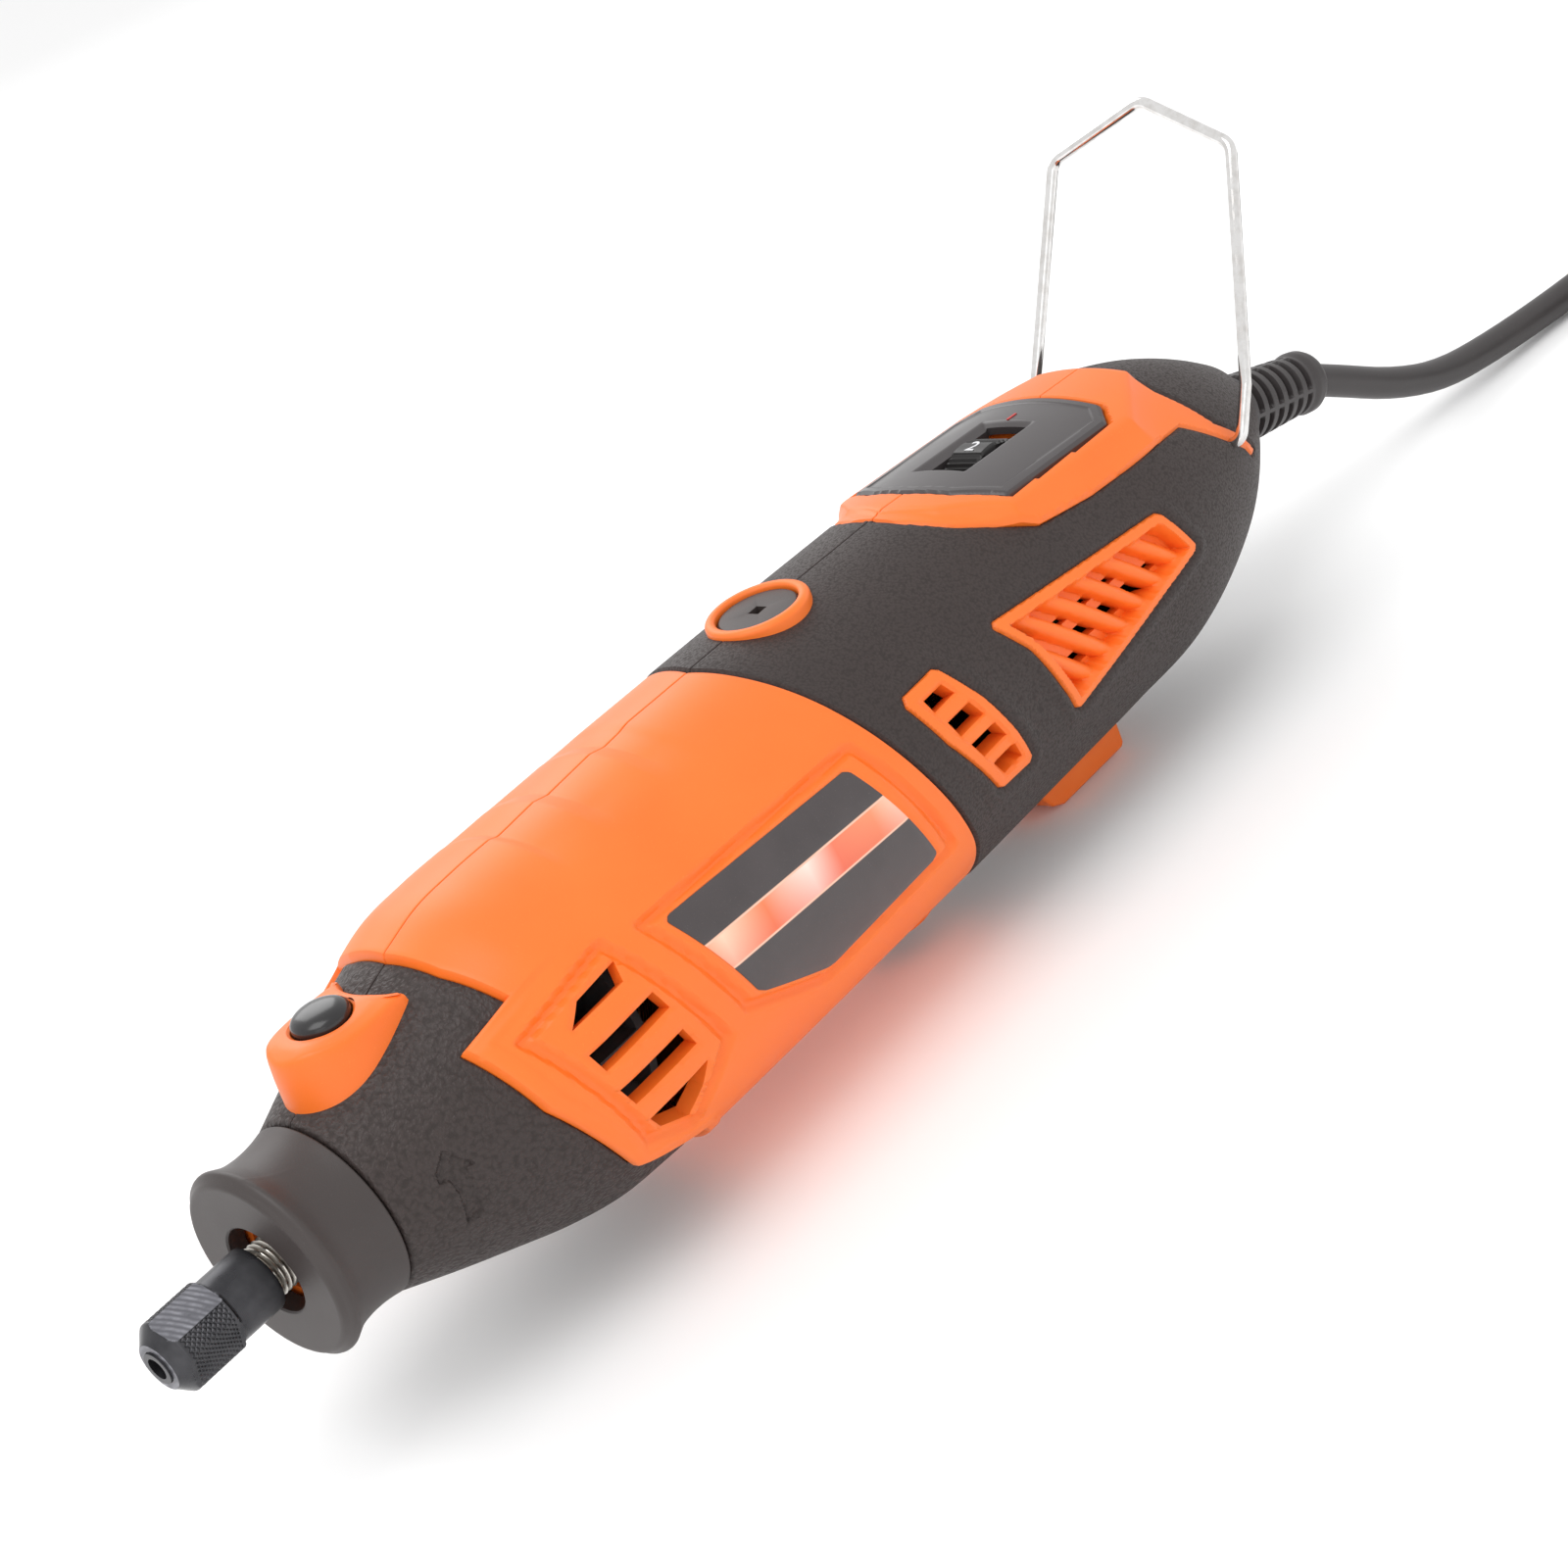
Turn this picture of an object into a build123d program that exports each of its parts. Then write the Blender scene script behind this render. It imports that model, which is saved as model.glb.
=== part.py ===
"""Corded rotary tool (mini drill) with a wire hanger, built as separate pieces.

Frame: the spindle turns on the X axis and the collet's mouth is at the origin.
+X runs back to the mains lead, +Z is the side with the lock button and the speed dial.
All sizes are in millimetres.
"""

import os
from math import cos, pi, radians, sin, tan

from build123d import *

os.makedirs("parts", exist_ok=True)

# ---- driving dimensions ----
CAP_FRONT, CAP_REAR = 19.0, 31.3  # nose cap
GRIP_FRONT = 31.6  # where the front grip starts
TAIL = 247.4  # rear face of the housing
GRIP_SKIN = 1.5  # thickness of the soft grips
SHANK_R = 1.6  # collet bore
FLOOR_Z = -31.8  # underside of the power switch
LOCK_X = 42.7  # spindle lock
BRUSH_X = 136.8  # carbon brushes and their caps
BRUSH_RING_R = 8.2
BRUSH_TOP = 27.9
DIAL_X, DIAL_Z, DIAL_R = 190.0, 14.9, 9.8  # thumbwheel axis and radius
DECK_X, DECK_TILT, DECK_Z = 164.0, 4.0, 26.9  # crowned deck around the dial
BAIL_X, BAIL_Z = 226.0, 5.0  # hinge line of the wire hanger
BAIL_LEAN = 30.0  # degrees back from upright
WIRE_R = 1.0
CORD_D = 5.8
FIT = 0.05  # radial clearance of a running fit

# outlines as (x, radius)
FRONT_SKIN = [(GRIP_FRONT, 13.9), (40.3, 17.4), (48.7, 20.5), (56.1, 23.1), (64.0, 25.0)]
FRONT_SKIN += [(72.0, 25.6), (92.0, 25.9)]
MID_SKIN = [(44.0, 20.2), (56.3, 24.3), (62.6, 26.1), (70.0, 26.7), (82.0, 26.8), (150.0, 26.7)]
REAR_SKIN = [(112.0, 27.2), (145.0, 27.0), (165.0, 26.5), (190.0, 26.1), (206.0, 25.5)]
REAR_SKIN += [(220.6, 22.1), (231.6, 18.0), (240.8, 13.0), (TAIL, 8.6)]
HARD_SKIN = [(32.0, 12.4), (40.3, 15.9), (48.7, 19.0), (56.1, 21.6), (64.0, 23.5), (72.0, 24.2)]
HARD_SKIN += [(112.0, 25.5)]
HARD_SKIN += [(145.0, 25.4), (165.0, 25.0), (190.0, 24.6), (206.0, 24.0), (219.8, 20.6), (230.6, 16.6)]
HARD_SKIN += [(239.4, 11.8), (TAIL - GRIP_SKIN, 8.2)]
CAVITY = [(58.0, 19.2), (64.0, 21.0), (72.0, 21.7), (112.0, 22.9), (165.0, 22.5), (190.0, 22.1)]
CAVITY += [(206.0, 21.5), (218.0, 18.4), (229.0, 14.2), (236.0, 10.2)]

# outlines in the side view as (x, z)
FRONT_ZONE = [(20, 32), (55.0, 32), (55.0, 23.2), (55.8, 22.2), (58.4, 17.4), (49.6, 14.7), (53.3, 3.2)]
FRONT_ZONE += [(57.4, -5.5), (61.9, -12.8), (76.6, -17.4), (79.5, -21.0), (82.0, -32), (20, -32)]
REAR_ZONE = [(120.4, 32), (120.5, 26.4), (124.6, 20.6), (128.0, 13.2), (135.9, -6.1), (141.0, -18.5)]
REAR_ZONE += [(143.5, -26.5), (143.8, -32), (260, -32), (260, 32)]
DECK_ZONE = [(163.8, 32), (164.4, 26.2), (168.0, 23.4), (177.9, 18.0), (190.0, 16.3), (207.5, 15.2)]
DECK_ZONE += [(215.9, 13.9), (220.0, 10.6), (230.4, 1.6), (231.6, -0.4), (234.0, -0.4)]
DECK_ZONE += [(230.6, 4.2), (224.6, 9.6), (219.6, 18.0), (219.0, 32)]
SMALL_VENT = [(144.1, 13.8), (135.4, 13.4), (138.2, 4.6), (144.9, -7.5), (153.7, -8.0)]
SMALL_VENT += [(151.6, -1.6), (148.2, 6.4)]
LARGE_VENT = [(157.3, 12.7), (198.2, 8.3), (202.6, -0.6), (166.0, -7.2), (163.4, -0.4), (161.0, 6.6)]
LABEL = [(82.3, 13.2), (120.4, 11.8), (129.6, -8.8), (104.1, -10.2), (89.7, -3.9)]
# front vent slots as (x0, x1, z, height)
FRONT_SLOTS = [(62.2, 71.8, 11.7, 2.2), (62.5, 74.5, 5.2, 3.1), (63.3, 74.8, -1.5, 3.2)]
FRONT_SLOTS += [(66.2, 75.8, -8.4, 3.4)]
SCREWS = [(77.9, 17.8), (77.9, -17.8), (147.2, 18.4), (147.2, -18.4), (213.0, -12.5)]


def finish(builder, name):
    """Label a finished piece and write it as a STEP file."""
    builder.part.label = name
    export_step(builder.part, f"parts/{name}.step")


def form(skin, start_r=0.0):
    """A solid of revolution on the spindle axis under a smooth outline."""
    with BuildPart() as body:
        with BuildSketch(Plane.XZ):
            with BuildLine():
                Spline(*skin)
                Line(skin[-1], (skin[-1][0], start_r))
                Line((skin[-1][0], start_r), (skin[0][0], start_r))
                Line((skin[0][0], start_r), skin[0])
            make_face()
        revolve(axis=Axis.X)
    return body.part


def turned(points):
    """A solid of revolution on the spindle axis under straight lines."""
    with BuildPart() as body:
        with BuildSketch(Plane.XZ):
            with BuildLine():
                Polyline(*points, close=True)
            make_face()
        revolve(axis=Axis.X)
    return body.part


def prism(points, half_width=40.0):
    """A side-view outline, extruded both ways across the tool."""
    with BuildPart() as body:
        with BuildSketch(Plane.XZ):
            with BuildLine():
                Polyline(*points, close=True)
            make_face()
        extrude(amount=half_width, both=True)
    return body.part


def ring(x0, x1, outer, inner=0.0):
    """A plain ring or disc on the spindle axis."""
    with BuildPart() as body:
        with BuildSketch(Plane.YZ.offset(x0)):
            Circle(outer)
            if inner:
                Circle(inner, mode=Mode.SUBTRACT)
        extrude(amount=x1 - x0)
    return body.part


def upright(x, z0, z1, outer, inner=0.0):
    """A plain ring or disc on a vertical axis through the spindle axis."""
    with BuildPart() as body:
        with BuildSketch(Plane.XY.offset(z0)):
            with Locations((x, 0)):
                Circle(outer)
                if inner:
                    Circle(inner, mode=Mode.SUBTRACT)
        extrude(amount=z1 - z0)
    return body.part


def crosswise(x, z, y0, y1, radius):
    """A cylinder across the tool, from y0 to y1."""
    with BuildPart() as body:
        with BuildSketch(Plane.XZ.offset(-y0)):
            with Locations((x, z)):
                Circle(radius)
        extrude(amount=-(y1 - y0))
    return body.part


def lock_surround(grow=0.0):
    """The teardrop around the lock button, seen from above."""
    with BuildPart() as body:
        with BuildSketch(Plane.XY.offset(8)):
            with BuildLine():
                back = [(51.2 + grow, 7.0 + grow), (48.6, 3.0), (48.6, -3.0), (51.2 + grow, -7.0 - grow)]
                Polyline((41.0, 7.2 + grow), *back, (41.0, -7.2 - grow))
                ThreePointArc((41.0, -7.2 - grow), (33.6 - grow, 0), (41.0, 7.2 + grow))
            make_face()
        extrude(amount=20)
    return body.part


def deck(depth=0.0):
    """The crowned deck around the dial: an arched section run back at a slight fall."""
    run = Plane(
        origin=(DECK_X, 0, DECK_Z - depth),
        x_dir=(0, 1, 0),
        z_dir=(cos(radians(DECK_TILT)), 0, -sin(radians(DECK_TILT))),
    )
    with BuildPart() as body:
        with BuildSketch(run):
            with BuildLine():
                ThreePointArc((-22, -5.4), (0, 0), (22, -5.4))
                Polyline((22, -5.4), (22, -18), (-22, -18), (-22, -5.4))
            make_face()
        extrude(amount=58)
    return body.part


def plan(points, z0, z1):
    """An outline seen from above, between two heights."""
    with BuildPart() as body:
        with BuildSketch(Plane.XY.offset(z0)):
            with BuildLine():
                Polyline(*points, close=True)
            make_face()
        extrude(amount=z1 - z0)
    return body.part


def block(x0, x1, y0, y1, z0, z1):
    """A plain box between two corners."""
    with BuildPart() as body:
        with Locations(((x0 + x1) / 2, (y0 + y1) / 2, (z0 + z1) / 2)):
            Box(x1 - x0, y1 - y0, z1 - z0)
    return body.part


def common(first, second):
    """What two solids share."""
    with BuildPart() as body:
        add(first)
        add(second, mode=Mode.INTERSECT)
    return body.part


def joined(solids):
    """Several solids as one."""
    with BuildPart() as body:
        for solid in solids:
            add(solid)
    return body.part


def without(first, *others):
    """A solid with others cut out of it."""
    with BuildPart() as body:
        add(first)
        for other in others:
            add(other, mode=Mode.SUBTRACT)
    return body.part


def sector(x0, x1, half_angle):
    """Wedges about the spindle axis that open to the left and right of the tool."""
    reach = 30 * tan(radians(half_angle))
    with BuildPart() as body:
        with BuildSketch(Plane.YZ.offset(x0)):
            for across in (1, -1):
                with BuildLine():
                    Polyline((0, 0), (30 * across, reach), (30 * across, -reach), close=True)
                make_face()
        extrude(amount=x1 - x0)
    return body.part


def outwards(up, z0, z1):
    """Two heights measured outwards from the spindle axis, the low one first."""
    return sorted((up * z0, up * z1))


hard_form = form(HARD_SKIN)
mid_form = form(MID_SKIN)
mid_zone = prism(REAR_ZONE[:8] + FRONT_ZONE[11:0:-1])
front_zone = prism(FRONT_ZONE)
rear_zone = prism(REAR_ZONE)
deck_zone = prism(DECK_ZONE)
vent_zones = [prism(SMALL_VENT), prism(LARGE_VENT)]
deck_plan = plan(
    [(165.0, 0), (168.0, 9.0), (177.5, 18.6), (206.0, 18.6), (217.0, 13.0)]
    + [(217.0, -13.0), (206.0, -18.6), (177.5, -18.6), (168.0, -9.0)],
    10,
    32,
)
cover_plan = [(173.5, 0), (174.5, 8.0), (178.5, 15.4), (203.0, 15.6), (207.0, 12.0)]
cover_plan += [(207.0, -12.0), (203.0, -15.6), (178.5, -15.4), (174.5, -8.0)]

# the strain relief leaves the tail at a slight droop
RELIEF_TILT, RELIEF_LENGTH = 14.0, 34.0
relief_plane = Plane(
    origin=(240.0, 0, 0.2),
    x_dir=(0, 1, 0),
    z_dir=(cos(radians(RELIEF_TILT)), 0, -sin(radians(RELIEF_TILT))),
)
with BuildPart() as bore:
    with BuildSketch(relief_plane.offset(-8.0)):
        Circle(7.1)
    extrude(amount=24)
relief_bore = bore.part

# ---- hard shell: two halves ----
cover_seat = without(common(deck(-1.0), plan(cover_plan, 15, 32)), deck(1.6))
label_seat = without(prism(LABEL), form([(x, r - 0.9) for x, r in MID_SKIN]))
posts = joined([crosswise(post_x, post_z, -17, 17, 2.8) for post_x, post_z in SCREWS])
with BuildPart() as shell:
    add(hard_form)
    add(common(mid_form, mid_zone))
    add(common(form(REAR_SKIN), joined(vent_zones + [deck_zone])))
    add(common(deck(), deck_plan))
    add(common(lock_surround(), block(30, 60, -12, 12, 8, 22.9)))
    add(upright(BRUSH_X, -BRUSH_TOP, BRUSH_TOP, BRUSH_RING_R))
    add(ring(22.5, 33.0, 9.4))
    # inside: main cavity, then the seats along the spindle
    add(form(CAVITY), mode=Mode.SUBTRACT)
    add(ring(22.0, 37.0, 6.0), mode=Mode.SUBTRACT)
    add(ring(36.5, 48.4, 8.3), mode=Mode.SUBTRACT)
    add(ring(48.3, 55.7, 11.0), mode=Mode.SUBTRACT)
    add(ring(55.0, 59.0, 9.6), mode=Mode.SUBTRACT)
    # stator seats, rear bearing wall, screw posts, brush towers
    add(ring(87.0, 90.0, 24.0, 21.6))
    add(ring(117.0, 120.0, 24.0, 21.6))
    add(ring(152.4, 158.6, 24.0, 9.5))
    add(common(posts, hard_form))
    for up in (1, -1):
        add(upright(BRUSH_X, *outwards(up, 18.0, BRUSH_TOP), BRUSH_RING_R))
    # openings
    add(upright(BRUSH_X, -30, 30, 6.5), mode=Mode.SUBTRACT)
    add(relief_bore, mode=Mode.SUBTRACT)
    add(ring(236.4, 241.2, 9.4), mode=Mode.SUBTRACT)
    add(upright(LOCK_X, 12.6, 30, 4.4), mode=Mode.SUBTRACT)
    add(upright(LOCK_X, 0, 14, 1.6), mode=Mode.SUBTRACT)
    for slot_x0, slot_x1, slot_z, slot_h in FRONT_SLOTS:
        add(block(slot_x0, slot_x1, -30, 30, slot_z - slot_h / 2, slot_z + slot_h / 2), mode=Mode.SUBTRACT)
    for step in range(4):
        drop = 4.6 * step
        x = 139.0 + 0.11 * drop + 0.022 * drop**2
        add(block(x, x + 5.2, -30, 30, 8.7 - drop, 11.7 - drop), mode=Mode.SUBTRACT)
    for step in range(6):
        x = 163.2 + 6.0 * step
        top = 10.0 - 0.62 * step
        foot = -4.8 + 1.05 * step
        slant = 3.2 - 0.25 * step
        louvre = [(x, top), (x + 3.6, top - 0.3), (x + 3.6 + slant, foot + 0.9), (x + slant, foot)]
        add(prism(louvre, 30), mode=Mode.SUBTRACT)
    add(block(178.5, 201.5, -6.0, 6.0, 14, 32), mode=Mode.SUBTRACT)
    add(block(176.0, 190.0, -3.2, 3.2, -32, -20), mode=Mode.SUBTRACT)
    for side in (-1, 1):
        add(crosswise(BAIL_X, BAIL_Z, side * 15.0, side * 30.0, WIRE_R + FIT), mode=Mode.SUBTRACT)
    for post_x, post_z in SCREWS:
        add(crosswise(post_x, post_z, -12, 30, 1.5), mode=Mode.SUBTRACT)
        add(crosswise(post_x, post_z, 13, 30, 3.1), mode=Mode.SUBTRACT)
    add(cover_seat, mode=Mode.SUBTRACT)
    add(label_seat, mode=Mode.SUBTRACT)

for side_name, keep in (("left", Keep.TOP), ("right", Keep.BOTTOM)):
    with BuildPart() as housing_half:
        add(shell.part)
        split(bisect_by=Plane.XZ, keep=keep)
    finish(housing_half, f"housing_{side_name}")

# ---- soft grips over the shell ----
for side_name, keep in (("left", Keep.TOP), ("right", Keep.BOTTOM)):
    with BuildPart() as front_grip:
        add(form(FRONT_SKIN))
        add(front_zone, mode=Mode.INTERSECT)
        add(hard_form, mode=Mode.SUBTRACT)
        add(lock_surround(), mode=Mode.SUBTRACT)
        add(ring(20.0, 34.0, 9.4), mode=Mode.SUBTRACT)
        add(ring(20.0, 32.0, 12.4), mode=Mode.SUBTRACT)
        for post_x, post_z in SCREWS[:2]:
            add(crosswise(post_x, post_z, 10, 30, 3.1), mode=Mode.SUBTRACT)
        split(bisect_by=Plane.XZ, keep=keep)
    finish(front_grip, f"front_grip_{side_name}")

    with BuildPart() as rear_grip:
        add(form(REAR_SKIN))
        add(rear_zone, mode=Mode.INTERSECT)
        add(hard_form, mode=Mode.SUBTRACT)
        for zone in vent_zones + [deck_zone, deck_plan]:
            add(zone, mode=Mode.SUBTRACT)
        add(upright(BRUSH_X, -30, 30, BRUSH_RING_R), mode=Mode.SUBTRACT)
        add(relief_bore, mode=Mode.SUBTRACT)
        for side in (-1, 1):
            add(crosswise(BAIL_X, BAIL_Z, side * 15.0, side * 30.0, 2.4), mode=Mode.SUBTRACT)
        add(block(174.0, 192.0, -5.0, 5.0, -32, -20), mode=Mode.SUBTRACT)
        for post_x, post_z in SCREWS:
            add(crosswise(post_x, post_z, 10, 30, 3.1), mode=Mode.SUBTRACT)
        split(bisect_by=Plane.XZ, keep=keep)
    finish(rear_grip, f"rear_grip_{side_name}")

# ---- labels in their shallow seats ----
for side_name, keep in (("left", Keep.TOP), ("right", Keep.BOTTOM)):
    with BuildPart() as label:
        add(form([(x, r - 0.5) for x, r in MID_SKIN]))
        add(prism(LABEL), mode=Mode.INTERSECT)
        add(form([(x, r - 0.9) for x, r in MID_SKIN]), mode=Mode.SUBTRACT)
        split(bisect_by=Plane.XZ, keep=keep)
    finish(label, f"label_{side_name}")

# ---- housing screws, driven from the right ----
with BuildPart() as housing_screws:
    for post_x, post_z in SCREWS:
        add(crosswise(post_x, post_z, -11.5, 13.0, 1.5))
        add(crosswise(post_x, post_z, 13.0, 15.4, 2.8))
        add(block(post_x - 2, post_x + 2, 14.4, 16, post_z - 0.4, post_z + 0.4), mode=Mode.SUBTRACT)
finish(housing_screws, "housing_screws")

# ---- nose cap ----
with BuildPart() as nose_cap:
    with BuildSketch(Plane.XZ):
        with BuildLine():
            Line((CAP_FRONT, 6.75), (CAP_FRONT, 13.3))
            ThreePointArc((CAP_FRONT, 13.3), (CAP_FRONT + 0.45, 14.3), (CAP_FRONT + 1.4, 14.7))
            Line((CAP_FRONT + 1.4, 14.7), (CAP_FRONT + 2.6, 14.7))
            ThreePointArc((CAP_FRONT + 2.6, 14.7), (26.2, 13.35), (CAP_REAR, 13.85))
            Polyline((CAP_REAR, 13.85), (CAP_REAR, 9.5), (CAP_FRONT + 3.0, 9.5), (CAP_FRONT + 3.0, 6.75))
            Line((CAP_FRONT + 3.0, 6.75), (CAP_FRONT, 6.75))
        make_face()
    revolve(axis=Axis.X)
finish(nose_cap, "nose_cap")

# ---- collet and its nut ----
with BuildPart() as collet_nut:
    add(turned([(0.3, 2.45), (0.3, 3.3), (2.3, 5.4), (10.3, 5.4), (10.6, 4.9), (17.8, 4.9), (17.8, 2.45)]))
    add(ring(8.0, 18.0, 4.0), mode=Mode.SUBTRACT)
    for flat_angle in (-70.0, 20.0, 110.0, 200.0):
        flat = Plane(
            origin=(6.3, -4.75 * sin(radians(flat_angle)), 4.75 * cos(radians(flat_angle))),
            x_dir=(1, 0, 0),
            z_dir=(0, -sin(radians(flat_angle)), cos(radians(flat_angle))),
        )
        with BuildSketch(flat):
            Rectangle(8.0, 12)
        extrude(amount=3, mode=Mode.SUBTRACT)
finish(collet_nut, "collet_nut")

with BuildPart() as collet:
    add(ring(0.0, 16.0, 2.4, SHANK_R))
    for slit in range(3):
        with BuildSketch(Plane.XY.rotated((120 * slit + 30, 0, 0))):
            with Locations((6.5, 2.0)):
                Rectangle(9.0, 2.0)
        extrude(amount=0.2, both=True, mode=Mode.SUBTRACT)
finish(collet, "collet")

# ---- rotor: spindle, core, windings, commutator, fan ----
with BuildPart() as spindle:
    add(ring(8.5, 26.0, 4.0 - FIT, 2.4 + FIT))
    add(ring(17.5, 39.0, 4.0 - FIT))
    add(ring(39.0, 46.4, 7.5))
    add(ring(46.4, 84.0, 4.0 - FIT))
    add(ring(84.0, 150.0, 4.0 - FIT))
    add(ring(150.0, 159.5, 3.0 - FIT))
    for turn in range(4):
        hole = Plane(
            origin=(LOCK_X, 0, 0),
            x_dir=(1, 0, 0),
            z_dir=(0, sin(pi / 2 * turn), cos(pi / 2 * turn)),
        )
        with BuildSketch(hole.offset(4.2)):
            Circle(1.75)
        extrude(amount=5, mode=Mode.SUBTRACT)
finish(spindle, "spindle")

with BuildPart() as armature_core:
    add(ring(88.0, 120.0, 12.0, 4.0 - FIT))
    with BuildSketch(Plane.YZ.offset(88.0)):
        with PolarLocations(10.4, 12):
            Rectangle(3.4, 1.2)
    extrude(amount=32, mode=Mode.SUBTRACT)
finish(armature_core, "armature_core")

with BuildPart() as armature_windings:
    add(ring(81.0, 88.0, 10.8, 4.0 - FIT))
    add(ring(120.0, 127.0, 10.8, 4.0 - FIT))
    fillet(armature_windings.edges().filter_by(GeomType.CIRCLE).group_by(SortBy.RADIUS)[-1], 1.5)
finish(armature_windings, "armature_windings")

with BuildPart() as commutator:
    add(ring(129.0, 144.0, 8.0, 4.0 - FIT))
    add(ring(129.0, 130.6, 9.0, 4.0 - FIT))
finish(commutator, "commutator")

with BuildPart() as cooling_fan:
    add(ring(66.0, 75.0, 6.5, 4.0 - FIT))
    add(ring(73.6, 75.0, 19.0, 4.0 - FIT))
    with BuildSketch(Plane.YZ.offset(66.0)):
        with PolarLocations(12.5, 10):
            Rectangle(13.0, 1.3)
    extrude(amount=8)
finish(cooling_fan, "cooling_fan")

# ---- bearings ----
with BuildPart() as front_bearing:
    add(ring(48.4, 55.4, 11.0, 4.0))
    add(ring(48.4, 48.9, 9.4, 5.6), mode=Mode.SUBTRACT)
    add(ring(54.9, 55.4, 9.4, 5.6), mode=Mode.SUBTRACT)
finish(front_bearing, "front_bearing")

with BuildPart() as rear_bearing:
    add(ring(152.5, 158.5, 9.5, 3.0))
    add(ring(152.5, 153.0, 8.0, 4.6), mode=Mode.SUBTRACT)
    add(ring(158.0, 158.5, 8.0, 4.6), mode=Mode.SUBTRACT)
finish(rear_bearing, "rear_bearing")

# ---- stator ----
pole_wedges = sector(86.5, 122.5, 48)
with BuildPart() as stator_core:
    add(ring(86.5, 122.5, 21.5, 17.6))
    add(common(ring(86.5, 122.5, 18.0, 12.5), pole_wedges))
    for up in (1, -1):
        add(block(86.0, 123.0, -8, 8, *outwards(up, 20.6, 24.6)), mode=Mode.SUBTRACT)
finish(stator_core, "stator_core")

with BuildPart() as field_coils:
    for across in (-1, 1):
        half_space = block(81, 128, *outwards(across, 0.9, 22.0), -22, 22)
        half_ring = common(ring(81.6, 127.6, 17.3, 13.1), half_space)
        add(without(half_ring, sector(85.9, 123.1, 50)))
finish(field_coils, "field_coils")

# ---- brushes, holders, springs, caps ----
for end_name, up in (("top", 1), ("bottom", -1)):
    with BuildPart() as brush_holder:
        add(upright(BRUSH_X, *outwards(up, 9.4, 24.0), 6.4))
        add(block(BRUSH_X - 2.6, BRUSH_X + 2.6, -3.1, 3.1, *outwards(up, 9.0, 25.0)), mode=Mode.SUBTRACT)
    finish(brush_holder, f"brush_holder_{end_name}")

    with BuildPart() as carbon_brush:
        add(block(BRUSH_X - 2.5, BRUSH_X + 2.5, -3.0, 3.0, *outwards(up, 7.0, 19.0)))
        add(ring(129.0, 145.0, 8.0 + 2 * FIT), mode=Mode.SUBTRACT)
    finish(carbon_brush, f"carbon_brush_{end_name}")

    with BuildPart() as brush_spring:
        add(upright(BRUSH_X, *outwards(up, 19.0, 24.2), 2.3, 1.6))
    finish(brush_spring, f"brush_spring_{end_name}")

    with BuildPart() as brush_cap:
        add(upright(BRUSH_X, *outwards(up, 24.3, 27.2), 6.35))
        add(block(BRUSH_X - 1.1, BRUSH_X + 1.1, -1.1, 1.1, *outwards(up, 26.0, 28.0)), mode=Mode.SUBTRACT)
    finish(brush_cap, f"brush_cap_{end_name}")

# ---- spindle lock ----
with BuildPart() as lock_button:
    add(upright(LOCK_X, 16.2, 24.6, 4.25))
    fillet(lock_button.edges().filter_by(GeomType.CIRCLE).group_by(Axis.Z)[-1], 1.9)
    add(upright(LOCK_X, 16.2, 19.0, 1.5), mode=Mode.SUBTRACT)
finish(lock_button, "lock_button")

with BuildPart() as lock_pin:
    add(upright(LOCK_X, 7.9, 19.0, 1.5))
finish(lock_pin, "lock_pin")

with BuildPart() as lock_spring:
    add(upright(LOCK_X, 12.6, 16.2, 3.6, 2.6))
finish(lock_spring, "lock_spring")

# ---- speed dial, its cover and the control board ----
with BuildPart() as dial_cover:
    add(without(common(deck(), plan(cover_plan, 15, 32)), deck(1.6)))
    add(block(180.8, 199.6, -4.2, 4.2, 15, 32), mode=Mode.SUBTRACT)
finish(dial_cover, "dial_cover")

with BuildPart() as speed_dial:
    with BuildSketch(Plane.XZ.offset(-3.2)):
        with Locations((DIAL_X, DIAL_Z)):
            Circle(DIAL_R)
            with PolarLocations(DIAL_R, 24):
                Circle(0.45, mode=Mode.SUBTRACT)
    extrude(amount=6.4)
    add(crosswise(DIAL_X, DIAL_Z, 3.2, 9.0, 2.0))
finish(speed_dial, "speed_dial")

with BuildPart() as speed_control:
    add(block(DIAL_X - 5, DIAL_X + 5, 4.2, 9.6, 1.6, 19.0))
    add(crosswise(DIAL_X, DIAL_Z, 3.0, 12.0, 2.0 + FIT), mode=Mode.SUBTRACT)
finish(speed_control, "speed_control")

with BuildPart() as control_board:
    add(block(166.0, 207.0, -15.0, 15.0, 0.0, 1.6))
finish(control_board, "control_board")

with BuildPart() as triac:
    add(block(168.0, 172.6, -6.0, 4.5, 1.6, 14.0))
finish(triac, "triac")

with BuildPart() as noise_capacitor:
    add(block(196.0, 205.0, -12.0, -5.0, 1.6, 11.0))
finish(noise_capacitor, "noise_capacitor")

# ---- power switch ----
with BuildPart() as switch_body:
    add(block(170.0, 198.0, -6.5, 6.5, -19.4, -6.0))
    add(block(175.4, 190.6, -2.6, 2.6, -20.0, -15.6), mode=Mode.SUBTRACT)
finish(switch_body, "switch_body")

with BuildPart() as power_switch:
    knob = [(168.6, -24.0), (172.3, -30.8), (174.9, FLOOR_Z), (191.6, FLOOR_Z), (192.4, -31.0)]
    knob += [(192.4, -24.0)]
    add(prism(knob, 7.0))
    add(form([(x, r + 0.35) for x, r in REAR_SKIN]), mode=Mode.SUBTRACT)
    add(block(180.6, 187.6, -2.3, 2.3, -28.0, -16.2))
finish(power_switch, "power_switch")

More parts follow.
